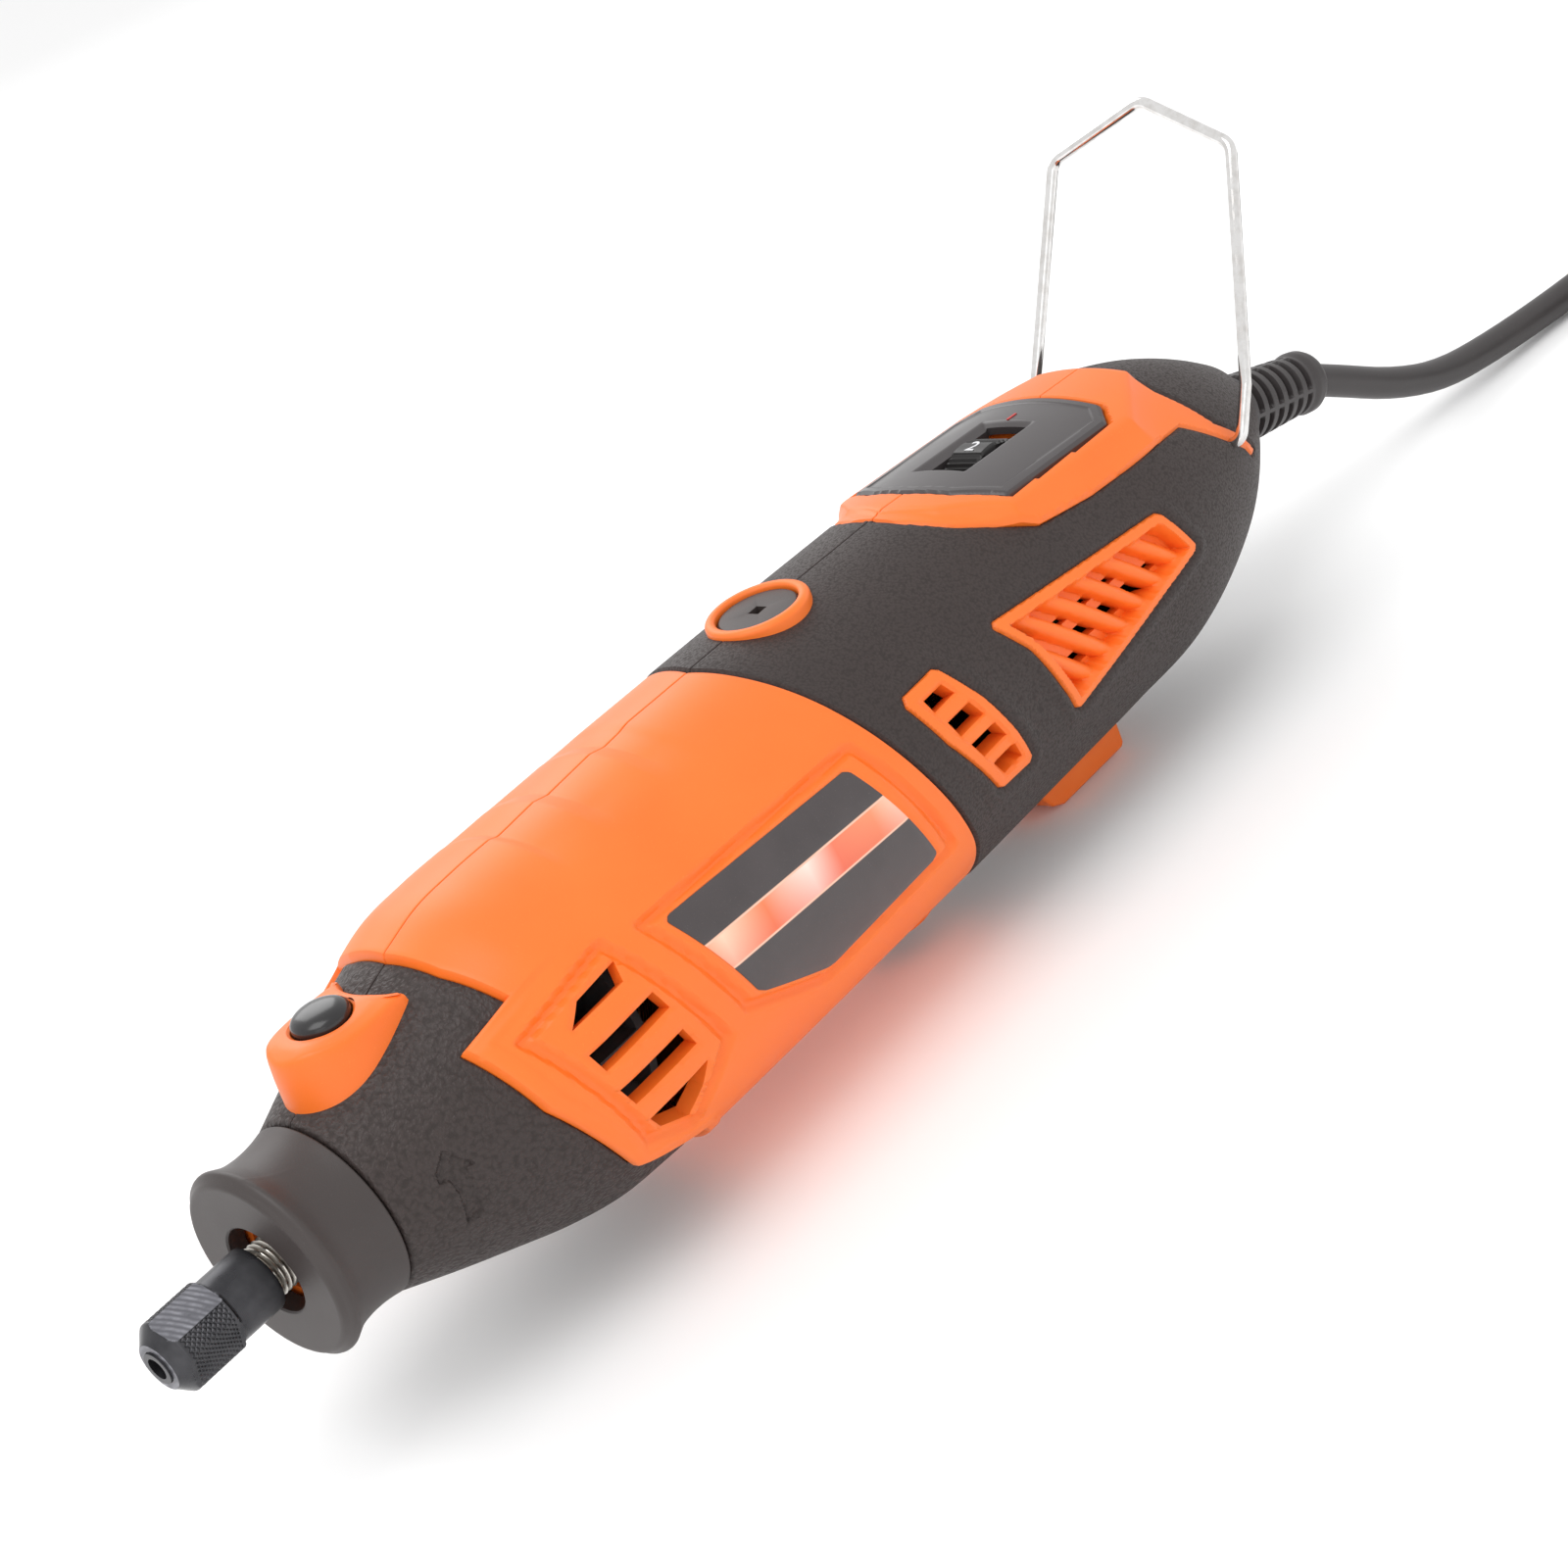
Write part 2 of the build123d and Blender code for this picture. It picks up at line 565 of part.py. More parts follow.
# ---- wire hanger ----
lean = radians(BAIL_LEAN)
bail_plane = Plane(origin=(BAIL_X, 0, BAIL_Z), x_dir=(0, 1, 0), z_dir=(cos(lean), 0, -sin(lean)))
with BuildPart() as bail:
    with BuildLine(bail_plane):
        legs = [(15.6, 0), (21.2, 0), (21.9, 9.4), (18.3, 47.6), (0, 56.0)]
        wire_path = legs + [(-a, b) for a, b in reversed(legs[:-1])]
        FilletPolyline(*wire_path, radius=[2.2, 3.0, 3.0, 3.5, 3.0, 3.0, 2.2])
    with BuildSketch(Plane(origin=(BAIL_X, 15.6, BAIL_Z), z_dir=(0, 1, 0))):
        Circle(WIRE_R)
    sweep()
finish(bail, "bail")

# ---- strain relief and its clamp ----
with BuildPart() as strain_relief:
    with BuildSketch(relief_plane.offset(3.0)):
        Circle(6.8)
    with BuildSketch(relief_plane.offset(RELIEF_LENGTH)):
        Circle(5.0)
    loft()
    fillet(strain_relief.edges().group_by(Axis.X)[-1], 1.8)
    add(ring(236.6, 241.0, 9.2))
    with BuildSketch(relief_plane.offset(-2.0)):
        Circle(6.9)
    extrude(amount=5.4)
    add(ring(230.0, 236.6, 20.0), mode=Mode.SUBTRACT)
finish(strain_relief, "strain_relief")

with BuildPart() as cord_clamp:
    add(block(224.0, 230.0, -7.0, 7.0, 0.0, 5.5))
    add(ring(223.0, 231.0, 3.0), mode=Mode.SUBTRACT)
finish(cord_clamp, "cord_clamp")

# ---- mains lead: tube, coil, tail and plug ----
exit_point = relief_plane.from_local_coords(Vector(0, 0, RELIEF_LENGTH))
LEAD_Z = FLOOR_Z + CORD_D / 2
COIL_C = (436.5, -16.2)
COIL_RINGS = (22.4, 28.2, 34.0, 39.8)
TIE_T = 0.8  # thickness of the tie under and around the coil
LEAD_ROUTE = [
    (exit_point.X, 0.0, exit_point.Z),
    (280.6, -0.6, -12.2),
    (293.6, -1.8, -20.0),
    (307.3, -3.0, -25.6),
    (322.4, -4.5, -27.8),
    (340.3, -7.0, LEAD_Z),
    (358.0, -10.0, LEAD_Z),
    (375.0, -7.5, LEAD_Z),
    (390.0, 0.8, LEAD_Z),
    (406.5, 13.2, LEAD_Z + 0.4),
    (424.0, 21.6, LEAD_Z + TIE_T),
]


def lead_tube(route, name):
    """A round lead along straight runs joined by the largest arcs that they allow."""
    points = [Vector(*p) for p in route]
    radii = []
    for before, corner, after in zip(points, points[1:], points[2:]):
        turn = radians((corner - before).get_angle(after - corner))
        shorter = min((corner - before).length, (after - corner).length)
        radii.append(0.45 * shorter / tan(turn / 2))
    print(name, "arc radii", [round(r, 1) for r in radii])
    with BuildPart() as tube:
        with BuildLine() as path:
            FilletPolyline(*points, radius=radii)
        with BuildSketch(Plane(origin=points[0], z_dir=(points[1] - points[0]))):
            Circle(CORD_D / 2)
        sweep()
    length = sum(edge.length for edge in path.edges())
    section = pi * CORD_D**2 / 4
    print(name, "length", round(length, 1), "volume ratio", round(tube.part.volume / section / length, 4))
    finish(tube, name)
    return length


lead_length = lead_tube(LEAD_ROUTE, "mains_cord")

with BuildPart() as cord_coil:
    with BuildSketch(Plane.XY.offset(FLOOR_Z + TIE_T)):
        with Locations(COIL_C):
            Circle(COIL_RINGS[-1] + CORD_D / 2)
            Circle(COIL_RINGS[0] - CORD_D / 2, mode=Mode.SUBTRACT)
    extrude(amount=2 * CORD_D)
    fillet(cord_coil.edges().filter_by(GeomType.CIRCLE), 1.8)
finish(cord_coil, "cord_coil")
coil_length = 2 * pi * (2 * sum(COIL_RINGS) - 0.5 * COIL_RINGS[0])

with BuildPart() as cord_tie:
    inner_r, outer_r = COIL_RINGS[0] - CORD_D / 2, COIL_RINGS[-1] + CORD_D / 2
    x0, x1 = COIL_C[0] + inner_r - 0.6, COIL_C[0] + outer_r
    y0, y1 = COIL_C[1] - 5, COIL_C[1] + 5
    add(block(x0 - TIE_T, x1 + TIE_T, y0, y1, FLOOR_Z, FLOOR_Z + 2 * CORD_D + 2 * TIE_T))
    add(block(x0, x1, y0 - 1, y1 + 1, FLOOR_Z + TIE_T, FLOOR_Z + 2 * CORD_D + TIE_T), mode=Mode.SUBTRACT)
finish(cord_tie, "cord_tie")

PLUG_Z = FLOOR_Z + 6.85
TAIL_ROUTE = [
    (430.5, -55.8, LEAD_Z + TIE_T + CORD_D),
    (418.0, -52.3, LEAD_Z + 5.0),
    (407.0, -45.6, LEAD_Z + 4.0),
    (397.5, -41.6, PLUG_Z),
    (384.0, -41.6, PLUG_Z),
]
tail_length = lead_tube(TAIL_ROUTE, "cord_tail")
print("lead", round(lead_length), "coil", round(coil_length), "tail", round(tail_length))

plug_end = Vector(*TAIL_ROUTE[-1])
heading = Vector(TAIL_ROUTE[-1][0] - TAIL_ROUTE[-2][0], TAIL_ROUTE[-1][1] - TAIL_ROUTE[-2][1], 0)
plug_top = Plane(origin=(plug_end.X, plug_end.Y, FLOOR_Z), x_dir=heading, z_dir=(0, 0, 1))
plug_axis = Plane(origin=plug_end, x_dir=(0, 0, 1), z_dir=heading)
with BuildPart() as plug:
    with BuildSketch(plug_top):
        with BuildLine():
            Polyline((11, -5.5), (21, -16.5), (36, -17.2), (36, 17.2), (21, 16.5), (11, 5.5), close=True)
        make_face()
    extrude(amount=13.7)
    fillet(plug.edges(), 1.6)
    with BuildSketch(plug_axis):
        Circle(3.7)
    with BuildSketch(plug_axis.offset(13)):
        Circle(5.4)
    loft()
finish(plug, "plug")

with BuildPart() as plug_pins:
    with BuildSketch(plug_axis.offset(36)):
        with Locations((0, 9.5), (0, -9.5)):
            Circle(2.0)
    extrude(amount=19)
    fillet(plug_pins.edges().filter_by(GeomType.CIRCLE).group_by(Axis.X)[0], 0.9)
finish(plug_pins, "plug_pins")
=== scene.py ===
"""Corded rotary tool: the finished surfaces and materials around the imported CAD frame.

Shapes are worked out in millimetres in the tool's own frame and written to the meshes in metres.
X runs along the spindle to the mains lead, Z is up, and the left half is the one on -Y.
On the body a place is (x, turn): turn is the angle in degrees from the top down either side.
"""

import math

import bpy
import numpy as np
from mathutils import Matrix, Vector


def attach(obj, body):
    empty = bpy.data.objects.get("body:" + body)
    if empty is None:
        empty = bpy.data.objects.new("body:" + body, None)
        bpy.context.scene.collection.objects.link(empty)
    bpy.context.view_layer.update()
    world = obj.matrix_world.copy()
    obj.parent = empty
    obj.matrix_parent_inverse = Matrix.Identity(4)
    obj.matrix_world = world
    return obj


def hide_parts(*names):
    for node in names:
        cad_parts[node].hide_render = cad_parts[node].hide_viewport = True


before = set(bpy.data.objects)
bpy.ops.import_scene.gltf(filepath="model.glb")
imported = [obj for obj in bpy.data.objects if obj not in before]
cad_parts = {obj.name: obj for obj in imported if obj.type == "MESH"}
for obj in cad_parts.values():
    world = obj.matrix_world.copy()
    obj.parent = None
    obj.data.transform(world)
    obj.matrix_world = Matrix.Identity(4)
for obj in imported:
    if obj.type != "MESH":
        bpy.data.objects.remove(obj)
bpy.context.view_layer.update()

MM = 0.001
SIDES = (("left", 1), ("right", -1))

# ---- driving sizes, in millimetres ----
CAP_FRONT, CAP_REAR = 19.0, 31.3
GRIP_FRONT = 31.6
TAIL = 247.4
LOCK_X, LOCK_HOLE_R = 42.7, 5.6
BRUSH_X, BRUSH_RING_R, BRUSH_TOP = 136.8, 8.2, 27.9
DIAL_X, DIAL_Z, DIAL_R = 190.0, 14.9, 9.8
DECK_X, DECK_Z, DECK_TILT = 164.0, 26.9, math.radians(4.0)
DECK_CROWN = 47.5  # radius of the deck's arch
FLOOR_Z = -31.8
CORD_D = 5.8
GAP = 0.05  # half of the parting gap between the two halves
ARC = 26.7 * math.pi / 180  # millimetres of skin in one degree of turn

FRONT_SKIN = [
    (31.6, 13.9), (40.3, 17.4), (48.7, 20.5), (56.1, 23.1), (64.0, 25.0), (72.0, 25.6), (92.0, 25.9)
]
MID_SKIN = [(44.0, 20.2), (56.3, 24.3), (62.6, 26.1), (70.0, 26.7), (82.0, 26.8), (150.0, 26.7)]
REAR_SKIN = [(112.0, 27.0), (145.0, 26.8), (165.0, 26.5), (190.0, 26.1), (206.0, 25.5), (220.6, 22.1)]
REAR_SKIN += [(231.6, 18.0), (240.8, 13.0), (TAIL, 8.6)]

# the front seam steps between these two turns
SEAM_STEP = (46.3, 48.4)

# the seams in front of and behind the orange middle, as (turn, x)
FRONT_SEAM = [
    (0, 55.0), (23.5, 55.8), (46.3, 58.2), (48.4, 49.6), (82.3, 53.3), (120, 61.9), (132, 76.0), (144, 79.1)
]
FRONT_SEAM += [(165, 81.2), (180, 81.8)]
REAR_SEAM = [
    (0, 120.5), (19.7, 122.3), (39.5, 124.9), (60, 128.0), (82.1, 131.8), (103, 135.9), (122, 139.5)
]
REAR_SEAM += [(133, 140.9), (160, 143.3), (180, 143.8)]

# side-view outlines as (x, z)
DECK_ZONE = [
    (163.8, 60), (164.4, 26.2), (168.0, 23.4), (177.9, 18.0), (190.0, 16.3), (207.5, 15.2), (215.9, 13.9)
]
DECK_ZONE += [(220.0, 10.6), (230.4, 1.6), (231.6, -0.4), (234.0, -0.4), (230.6, 4.2), (224.6, 9.6)]
DECK_ZONE += [(219.6, 18.0), (219.0, 60)]
SMALL_VENT = [(143.6, 13.8), (136.2, 13.6), (135.5, 12.4), (138.2, 4.6), (144.9, -7.3), (146.0, -8.0)]
SMALL_VENT += [(152.8, -8.2), (153.6, -7.4), (151.6, -1.6), (148.2, 6.4), (144.4, 13.2)]
LARGE_VENT = [
    (158.0, 12.9), (197.4, 8.5), (198.6, 7.6), (202.6, 0.2), (202.0, -0.8), (166.8, -7.3), (165.8, -6.8)
]
LARGE_VENT += [(163.4, -0.4), (161.0, 6.6), (157.4, 12.2)]


def outline_on_skin(points):
    """(x, turn) points as (x, millimetres of skin from the top line)."""
    return [(x, turn * ARC) for x, turn in points]


LABEL = outline_on_skin(
    [(82.9, 59.8), (82.0, 61.6), (89.0, 97.0), (90.4, 99.4), (103.2, 111.8), (104.8, 112.4)]
)
LABEL += outline_on_skin([(128.4, 110.0), (129.5, 108.2), (120.9, 65.0), (119.8, 63.4)])
LABEL_CHANNEL = outline_on_skin([(78.1, 54.6), (77.4, 57.0), (85.6, 100.6), (101.6, 116.6), (103.6, 117.4)])
LABEL_CHANNEL += outline_on_skin([(133.0, 113.6), (134.2, 111.0), (124.6, 58.6), (123.0, 57.0)])
VENT_CHANNEL = outline_on_skin(
    [(73.3, 51.6), (71.8, 50.9), (54.6, 57.0), (54.3, 59.2), (63.6, 114.2), (73.2, 124.0)]
)
VENT_CHANNEL += outline_on_skin([(74.6, 123.2), (83.0, 102.6), (82.6, 100.2)])
FRONT_SLOTS = [
    outline_on_skin([(61.4, 66.6), (64.4, 60.9), (72.2, 59.4), (71.4, 65.6)]),
    outline_on_skin([(62.2, 82.6), (61.3, 75.4), (74.0, 73.6), (75.0, 80.6)]),
    outline_on_skin([(64.0, 97.6), (62.6, 90.2), (75.2, 88.6), (76.4, 95.8)]),
    outline_on_skin([(67.4, 113.4), (65.4, 105.8), (77.4, 103.6), (75.6, 110.6), (72.2, 117.6)]),
]
SMALL_SLOTS = [
    [(138.9, 11.5), (143.2, 11.6), (144.3, 9.5), (139.3, 9.3)],
    [(140.3, 7.0), (145.6, 7.1), (147.0, 4.2), (141.2, 4.0)],
    [(142.3, 1.9), (148.1, 2.0), (149.4, -1.0), (143.8, -1.2)],
    [(145.2, -3.3), (150.4, -3.2), (151.4, -6.0), (147.0, -6.2)],
]
ARROW = [(40.4, 70.6), (43.0, 83.4), (41.9, 83.2), (41.6, 107.4), (39.2, 108.6), (39.5, 91.4), (39.2, 84.2)]
ARROW += [(37.9, 82.6), (38.2, 77.6)]


# ---- numbers to surfaces ----
def curve_through(points):
    """A smooth curve through points: a cubic between each two, with the slope of the line between its
    neighbours."""
    at, value = np.array(points, float).T
    slope = np.gradient(value, at)

    def curve(x):
        k = np.clip(np.searchsorted(at, x) - 1, 0, len(at) - 2)
        step = at[k + 1] - at[k]
        t = np.clip((x - at[k]) / step, 0.0, 1.0)
        start, end = value[k], value[k + 1]
        rise = t * t * (3 - 2 * t)
        bend = step * (t * (1 - t) ** 2 * slope[k] - t * t * (1 - t) * slope[k + 1])
        return start + (end - start) * rise + bend

    return curve


front_skin = curve_through(FRONT_SKIN)
mid_skin = curve_through(MID_SKIN)
rear_skin = curve_through(REAR_SKIN)
rear_seam = curve_through(REAR_SEAM)


def front_seam(turn):
    """Where the orange middle starts: straight lines between the seam's corners."""
    return np.interp(turn, *np.array(FRONT_SEAM, float).T)


def ease(t):
    """0 below 0, 1 above 1, and three t squared less two t cubed in between."""
    t = np.clip(t, 0.0, 1.0)
    return t * t * (3 - 2 * t)


def rounded(away, radius):
    """How far a quarter-round edge has fallen at a distance from the edge: radius - sqrt(radius^2 -
    (radius - away)^2)."""
    left = np.clip(radius - away, 0.0, radius)
    return radius - np.sqrt(radius**2 - left**2)


def distance(x, y, outline):
    """Distance to a closed outline of straight lines, negative inside."""
    points = np.array(outline, float)
    nearest = np.full(np.shape(x), 1e9)
    inside = np.zeros(np.shape(x), bool)
    for (ax, ay), (bx, by) in zip(points, np.roll(points, -1, 0)):
        ex, ey = bx - ax, by - ay
        t = np.clip(((x - ax) * ex + (y - ay) * ey) / (ex * ex + ey * ey), 0, 1)
        nearest = np.minimum(nearest, np.hypot(x - ax - t * ex, y - ay - t * ey))
        if ay != by:
            inside ^= ((ay > y) != (by > y)) & (x < ex * (y - ay) / ey + ax)
    return np.where(inside, -nearest, nearest)


def trim(x, y, gone, reach):
    """Cuts a grid where gone(x, y) is below 0. The corners next to the cut move onto its edge.

    Returns the moved grid and a table of the faces that stay. A corner moves against the value's
    slope, by the value over the slope's length, as in Newton's method."""
    value = gone(x, y)
    stays = value >= 0
    faces = stays[:-1, :-1] & stays[:-1, 1:] & stays[1:, 1:] & stays[1:, :-1]
    around = np.pad(faces, 1)
    count = around[:-1, :-1].astype(int) + around[:-1, 1:] + around[1:, 1:] + around[1:, :-1]
    edge = (count > 0) & (count < 4) & (value < reach) & (value > -reach)
    ex, ey = x[edge], y[edge]
    tiny = 0.02
    for _ in range(3):
        here = gone(ex, ey)
        sx = (gone(ex + tiny, ey) - gone(ex - tiny, ey)) / (2 * tiny)
        sy = (gone(ex, ey + tiny) - gone(ex, ey - tiny)) / (2 * tiny)
        size = np.maximum(sx * sx + sy * sy, 0.05)
        ex, ey = ex - here * sx / size, ey - here * sy / size
    x, y = x.copy(), y.copy()
    x[edge], y[edge] = ex, ey
    return x, y, faces


def wall_faces(rows, columns, keep):
    """Faces of a closed wall between two grids of corners: outer side, inner side turned round, and
    rims."""
    index = np.arange(rows * columns).reshape(rows, columns)
    low, high = index[:-1], index[1:]
    corners = (low[:, :-1], low[:, 1:], high[:, 1:], high[:, :-1])
    quads = np.stack(corners, -1)
    other = np.pad(keep, 1)
    beside = (other[:-2, 1:-1], other[1:-1, 2:], other[2:, 1:-1], other[1:-1, :-2])
    size = rows * columns
    parts = [quads[keep], quads[keep][:, ::-1] + size]
    for k in range(4):
        open_side = keep & ~beside[k]
        a, b = corners[k][open_side], corners[(k + 1) % 4][open_side]
        parts.append(np.stack([b, a, a + size, b + size], -1))
    return np.concatenate(parts)


def ring_faces(rows, columns, closed_rows=False):
    """Faces of a grid whose columns join round, and whose rows join too where the section is closed."""
    i, j = np.meshgrid(np.arange(rows if closed_rows else rows - 1), np.arange(columns), indexing="ij")
    up, side = (i + 1) % rows, (j + 1) % columns
    return np.stack(
        [i * columns + j, i * columns + side, up * columns + side, up * columns + j], -1
    ).reshape(-1, 4)


def make(name, points, faces, body, material, caps=(), sharp=32.0):
    """A closed mesh object of those corners (mm) and faces, which rides on a body and takes a material.

    Its volume, the sum over the faces of corner . (corner x corner) / 6, tells whether they point
    outwards."""
    points = np.asarray(points, float).reshape(-1, 3)
    used, faces = np.unique(np.asarray(faces), return_inverse=True)
    faces = faces.reshape(-1, 4)
    points = points[used] * MM
    new_place = np.full(used.max() + 1, -1)
    new_place[used] = np.arange(len(used))
    middle = points.mean(0)
    a, b, c, d = (points[faces[:, k]] - middle for k in range(4))
    volume = np.einsum("ij,ij->", a, np.cross(b, c) + np.cross(c, d))
    polygons = faces.tolist() + [new_place[np.asarray(cap)].tolist() for cap in caps]
    if volume < 0:
        polygons = [polygon[::-1] for polygon in polygons]
    mesh = bpy.data.meshes.new(name)
    mesh.from_pydata(points.tolist(), [], polygons)
    mesh.validate()
    mesh.polygons.foreach_set("use_smooth", np.ones(len(mesh.polygons), bool))
    mesh.set_sharp_from_angle(angle=math.radians(sharp))
    piece = bpy.data.objects.new(name, mesh)
    bpy.context.scene.collection.objects.link(piece)
    mesh.materials.append(material)
    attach(piece, body)
    return piece


def on_body(x, turn, r, sign):
    """Corners at x, at a turn in degrees down one side, at radius r."""
    angle = np.radians(turn)
    return np.stack([x, -sign * (r * np.sin(angle) + GAP), r * np.cos(angle)], -1)


def half_turn(count, marks=()):
    """Turns from 0 to 180 degrees, closer together by the two parting lines, with given marks among
    them."""
    close = np.array([0.0, 0.12, 0.3, 0.55, 0.85, 1.25])
    middle = np.linspace(1.7, 178.3, count)
    for mark in marks:
        middle[np.abs(middle - mark).argmin()] = mark
    return np.concatenate([close, middle, 180 - close[::-1]])


def parting(r, turn):
    """The small round at the edge where the two halves meet."""
    return rounded(r * np.sin(np.radians(turn)), 0.22)


def body_wall(name, x, turn, r, thickness, keep, sign, material):
    """A closed wall on the body: the outer side at r, the inner side a thickness nearer the spindle."""
    outer = on_body(x, turn, r, sign)
    inner = on_body(x, turn, r - thickness, sign)
    faces = wall_faces(*x.shape, keep)
    points = np.concatenate([outer.reshape(-1, 3), inner.reshape(-1, 3)])
    return make(name, points, faces, "housing", material)


def turned_piece(
    name, section, columns, body, material, shape=None, centre=(0, 0), axis="x", loop=True
):
    """A section of (along, radius) points carried round an axis.

    shape(along, turn, radius) may move a point. A section that isn't a loop is capped flat at both ends."""
    section = np.array(section, float)
    turn = np.linspace(0, 2 * np.pi, columns, endpoint=False)
    along, angle = np.meshgrid(section[:, 0], turn, indexing="ij")
    radius = np.repeat(section[:, 1:2], columns, 1)
    if shape is not None:
        along, radius = shape(along, np.degrees(angle), radius)
    a, b = radius * np.sin(angle), radius * np.cos(angle)
    if axis == "x":
        points = np.stack([along, centre[0] - a, centre[1] + b], -1)
    elif axis == "z":
        points = np.stack([centre[0] + b, centre[1] + a, along], -1)
    else:
        points = np.stack([centre[0] + a, along, centre[1] + b], -1)
    faces = ring_faces(len(section), columns, closed_rows=loop)
    last = (len(section) - 1) * columns
    caps = [] if loop else [range(columns - 1, -1, -1), range(last, last + columns)]
    return make(name, points, faces, body, material, caps=caps)


def arc(cx, cr, radius, start, end, count):
    """Points (along, radius) on an arc about (cx, cr), with angles in degrees from the +along direction."""
    a = np.radians(np.linspace(start, end, count))
    return [(cx + radius * math.cos(t), cr + radius * math.sin(t)) for t in a]


def stretch(points, step):
    """The same run of points with more between them, no further apart than step."""
    run = [points[0]]
    for a, b in zip(points, points[1:]):
        count = max(1, int(math.ceil(math.dist(a, b) / step)))
        run += [tuple(a[k] + (b[k] - a[k]) * n / count for k in range(2)) for n in range(1, count + 1)]
    return run


# ---- materials ----
def node(tree, kind, inputs=None, **settings):
    """A node with its settings, whose inputs are numbers, colours or the outputs of other nodes."""
    made = tree.nodes.new(kind)
    for key, value in settings.items():
        setattr(made, key, value)
    for key, value in (inputs or {}).items():
        if isinstance(value, bpy.types.NodeSocket):
            tree.links.new(value, made.inputs[key])
        else:
            made.inputs[key].default_value = value
    return made


def math_node(tree, operation, a, b=0.0):
    """The output of a Math node."""
    return node(tree, "ShaderNodeMath", {0: a, 1: b}, operation=operation).outputs[0]


def object_place(tree):
    """Where a point lies in the piece's own coordinates."""
    return node(tree, "ShaderNodeTexCoord").outputs["Object"]


def ramp(tree, value, low, high, out_low=0.0, out_high=1.0):
    """A value carried from low..high to out_low..out_high, and held beyond them."""
    inputs = {"Value": value, "From Min": low, "From Max": high, "To Min": out_low, "To Max": out_high}
    return node(tree, "ShaderNodeMapRange", inputs).outputs[0]


def mix_colour(tree, factor, a, b):
    """One colour going to another."""
    made = node(tree, "ShaderNodeMix", {"Factor": factor}, data_type="RGBA")
    for socket, value in ((made.inputs[6], a), (made.inputs[7], b)):
        if isinstance(value, bpy.types.NodeSocket):
            tree.links.new(value, socket)
        else:
            socket.default_value = (*value, 1.0)
    return made.outputs[2]


def new_group(name, inputs, outputs):
    """An empty shader node group with number inputs (name, value) and number outputs."""
    tree = bpy.data.node_groups.new(name, "ShaderNodeTree")
    for label, value in inputs:
        tree.interface.new_socket(
            label, in_out="INPUT", socket_type="NodeSocketFloat"
        ).default_value = value
    for label in outputs:
        tree.interface.new_socket(label, in_out="OUTPUT", socket_type="NodeSocketFloat")
    return tree, tree.nodes.new("NodeGroupInput"), tree.nodes.new("NodeGroupOutput")


def moulded_group():
    """Fine spark-eroded mould texture, with slow drifts of tone and gloss."""
    tree, given, out = new_group(
        "moulded_texture", [("Scale", 3500.0), ("Drift", 60.0)], ["Height", "Drift", "Speck"]
    )
    place = object_place(tree)
    fine = node(
        tree, "ShaderNodeTexNoise", {"Vector": place, "Scale": given.outputs["Scale"], "Detail": 3.0}
    )
    slow = node(
        tree, "ShaderNodeTexNoise", {"Vector": place, "Scale": given.outputs["Drift"], "Detail": 4.0}
    )
    speck = ramp(tree, fine.outputs[0], 0.66, 0.74)
    tree.links.new(fine.outputs[0], out.inputs["Height"])
    tree.links.new(ramp(tree, slow.outputs[0], 0.3, 0.7), out.inputs["Drift"])
    tree.links.new(speck, out.inputs["Speck"])
    return tree


def leather_group():
    """Leather grain: rounded cells pulled out of shape by a slower noise, with creases between them."""
    tree, given, out = new_group(
        "leather_grain", [("Scale", 1300.0), ("Pull", 0.5)], ["Height", "Crease", "Drift"]
    )
    place = object_place(tree)
    bend_scale = math_node(tree, "MULTIPLY", given.outputs["Scale"], 0.7)
    bend = node(tree, "ShaderNodeTexNoise", {"Vector": place, "Scale": bend_scale, "Detail": 2.0})
    amount = math_node(tree, "DIVIDE", given.outputs["Pull"], given.outputs["Scale"])
    moved = node(tree, "ShaderNodeVectorMath", {0: bend.outputs["Color"], 1: (-0.5,) * 3}, operation="ADD")
    reach = math_node(tree, "MULTIPLY", amount, 4.0)
    scaled = node(tree, "ShaderNodeVectorMath", {0: moved.outputs[0], "Scale": reach}, operation="SCALE")
    pulled = node(
        tree, "ShaderNodeVectorMath", {0: place, 1: scaled.outputs[0]}, operation="ADD"
    ).outputs[0]
    inputs = {"Vector": pulled, "Scale": given.outputs["Scale"], "Smoothness": 0.6}
    cells = node(tree, "ShaderNodeTexVoronoi", inputs, feature="SMOOTH_F1").outputs["Distance"]
    fine_scale = math_node(tree, "MULTIPLY", given.outputs["Scale"], 4.0)
    fine = node(tree, "ShaderNodeTexNoise", {"Vector": place, "Scale": fine_scale}).outputs[0]
    slow = node(tree, "ShaderNodeTexNoise", {"Vector": place, "Scale": 45.0, "Detail": 3.0}).outputs[0]
    height = math_node(tree, "SUBTRACT", math_node(tree, "MULTIPLY", fine, 0.18), cells)
    tree.links.new(height, out.inputs["Height"])
    tree.links.new(ramp(tree, cells, 0.35, 0.75), out.inputs["Crease"])
    tree.links.new(ramp(tree, slow, 0.3, 0.7), out.inputs["Drift"])
    return tree


def lay_group():
    """Tool marks: close parallel lines across X, broken up by a noise that is stretched along them."""
    tree, given, out = new_group("tool_marks", [("Scale", 900.0), ("Break", 2.0)], ["Height", "Tone"])
    place = object_place(tree)
    inputs = {"Vector": place, "Scale": given.outputs["Scale"], "Distortion": given.outputs["Break"]}
    bands = node(tree, "ShaderNodeTexWave", inputs, bands_direction="X").outputs["Fac"]
    slow = node(tree, "ShaderNodeTexNoise", {"Vector": place, "Scale": 300.0, "Detail": 4.0}).outputs[0]
    tree.links.new(bands, out.inputs["Height"])
    tree.links.new(ramp(tree, slow, 0.3, 0.7), out.inputs["Tone"])
    return tree


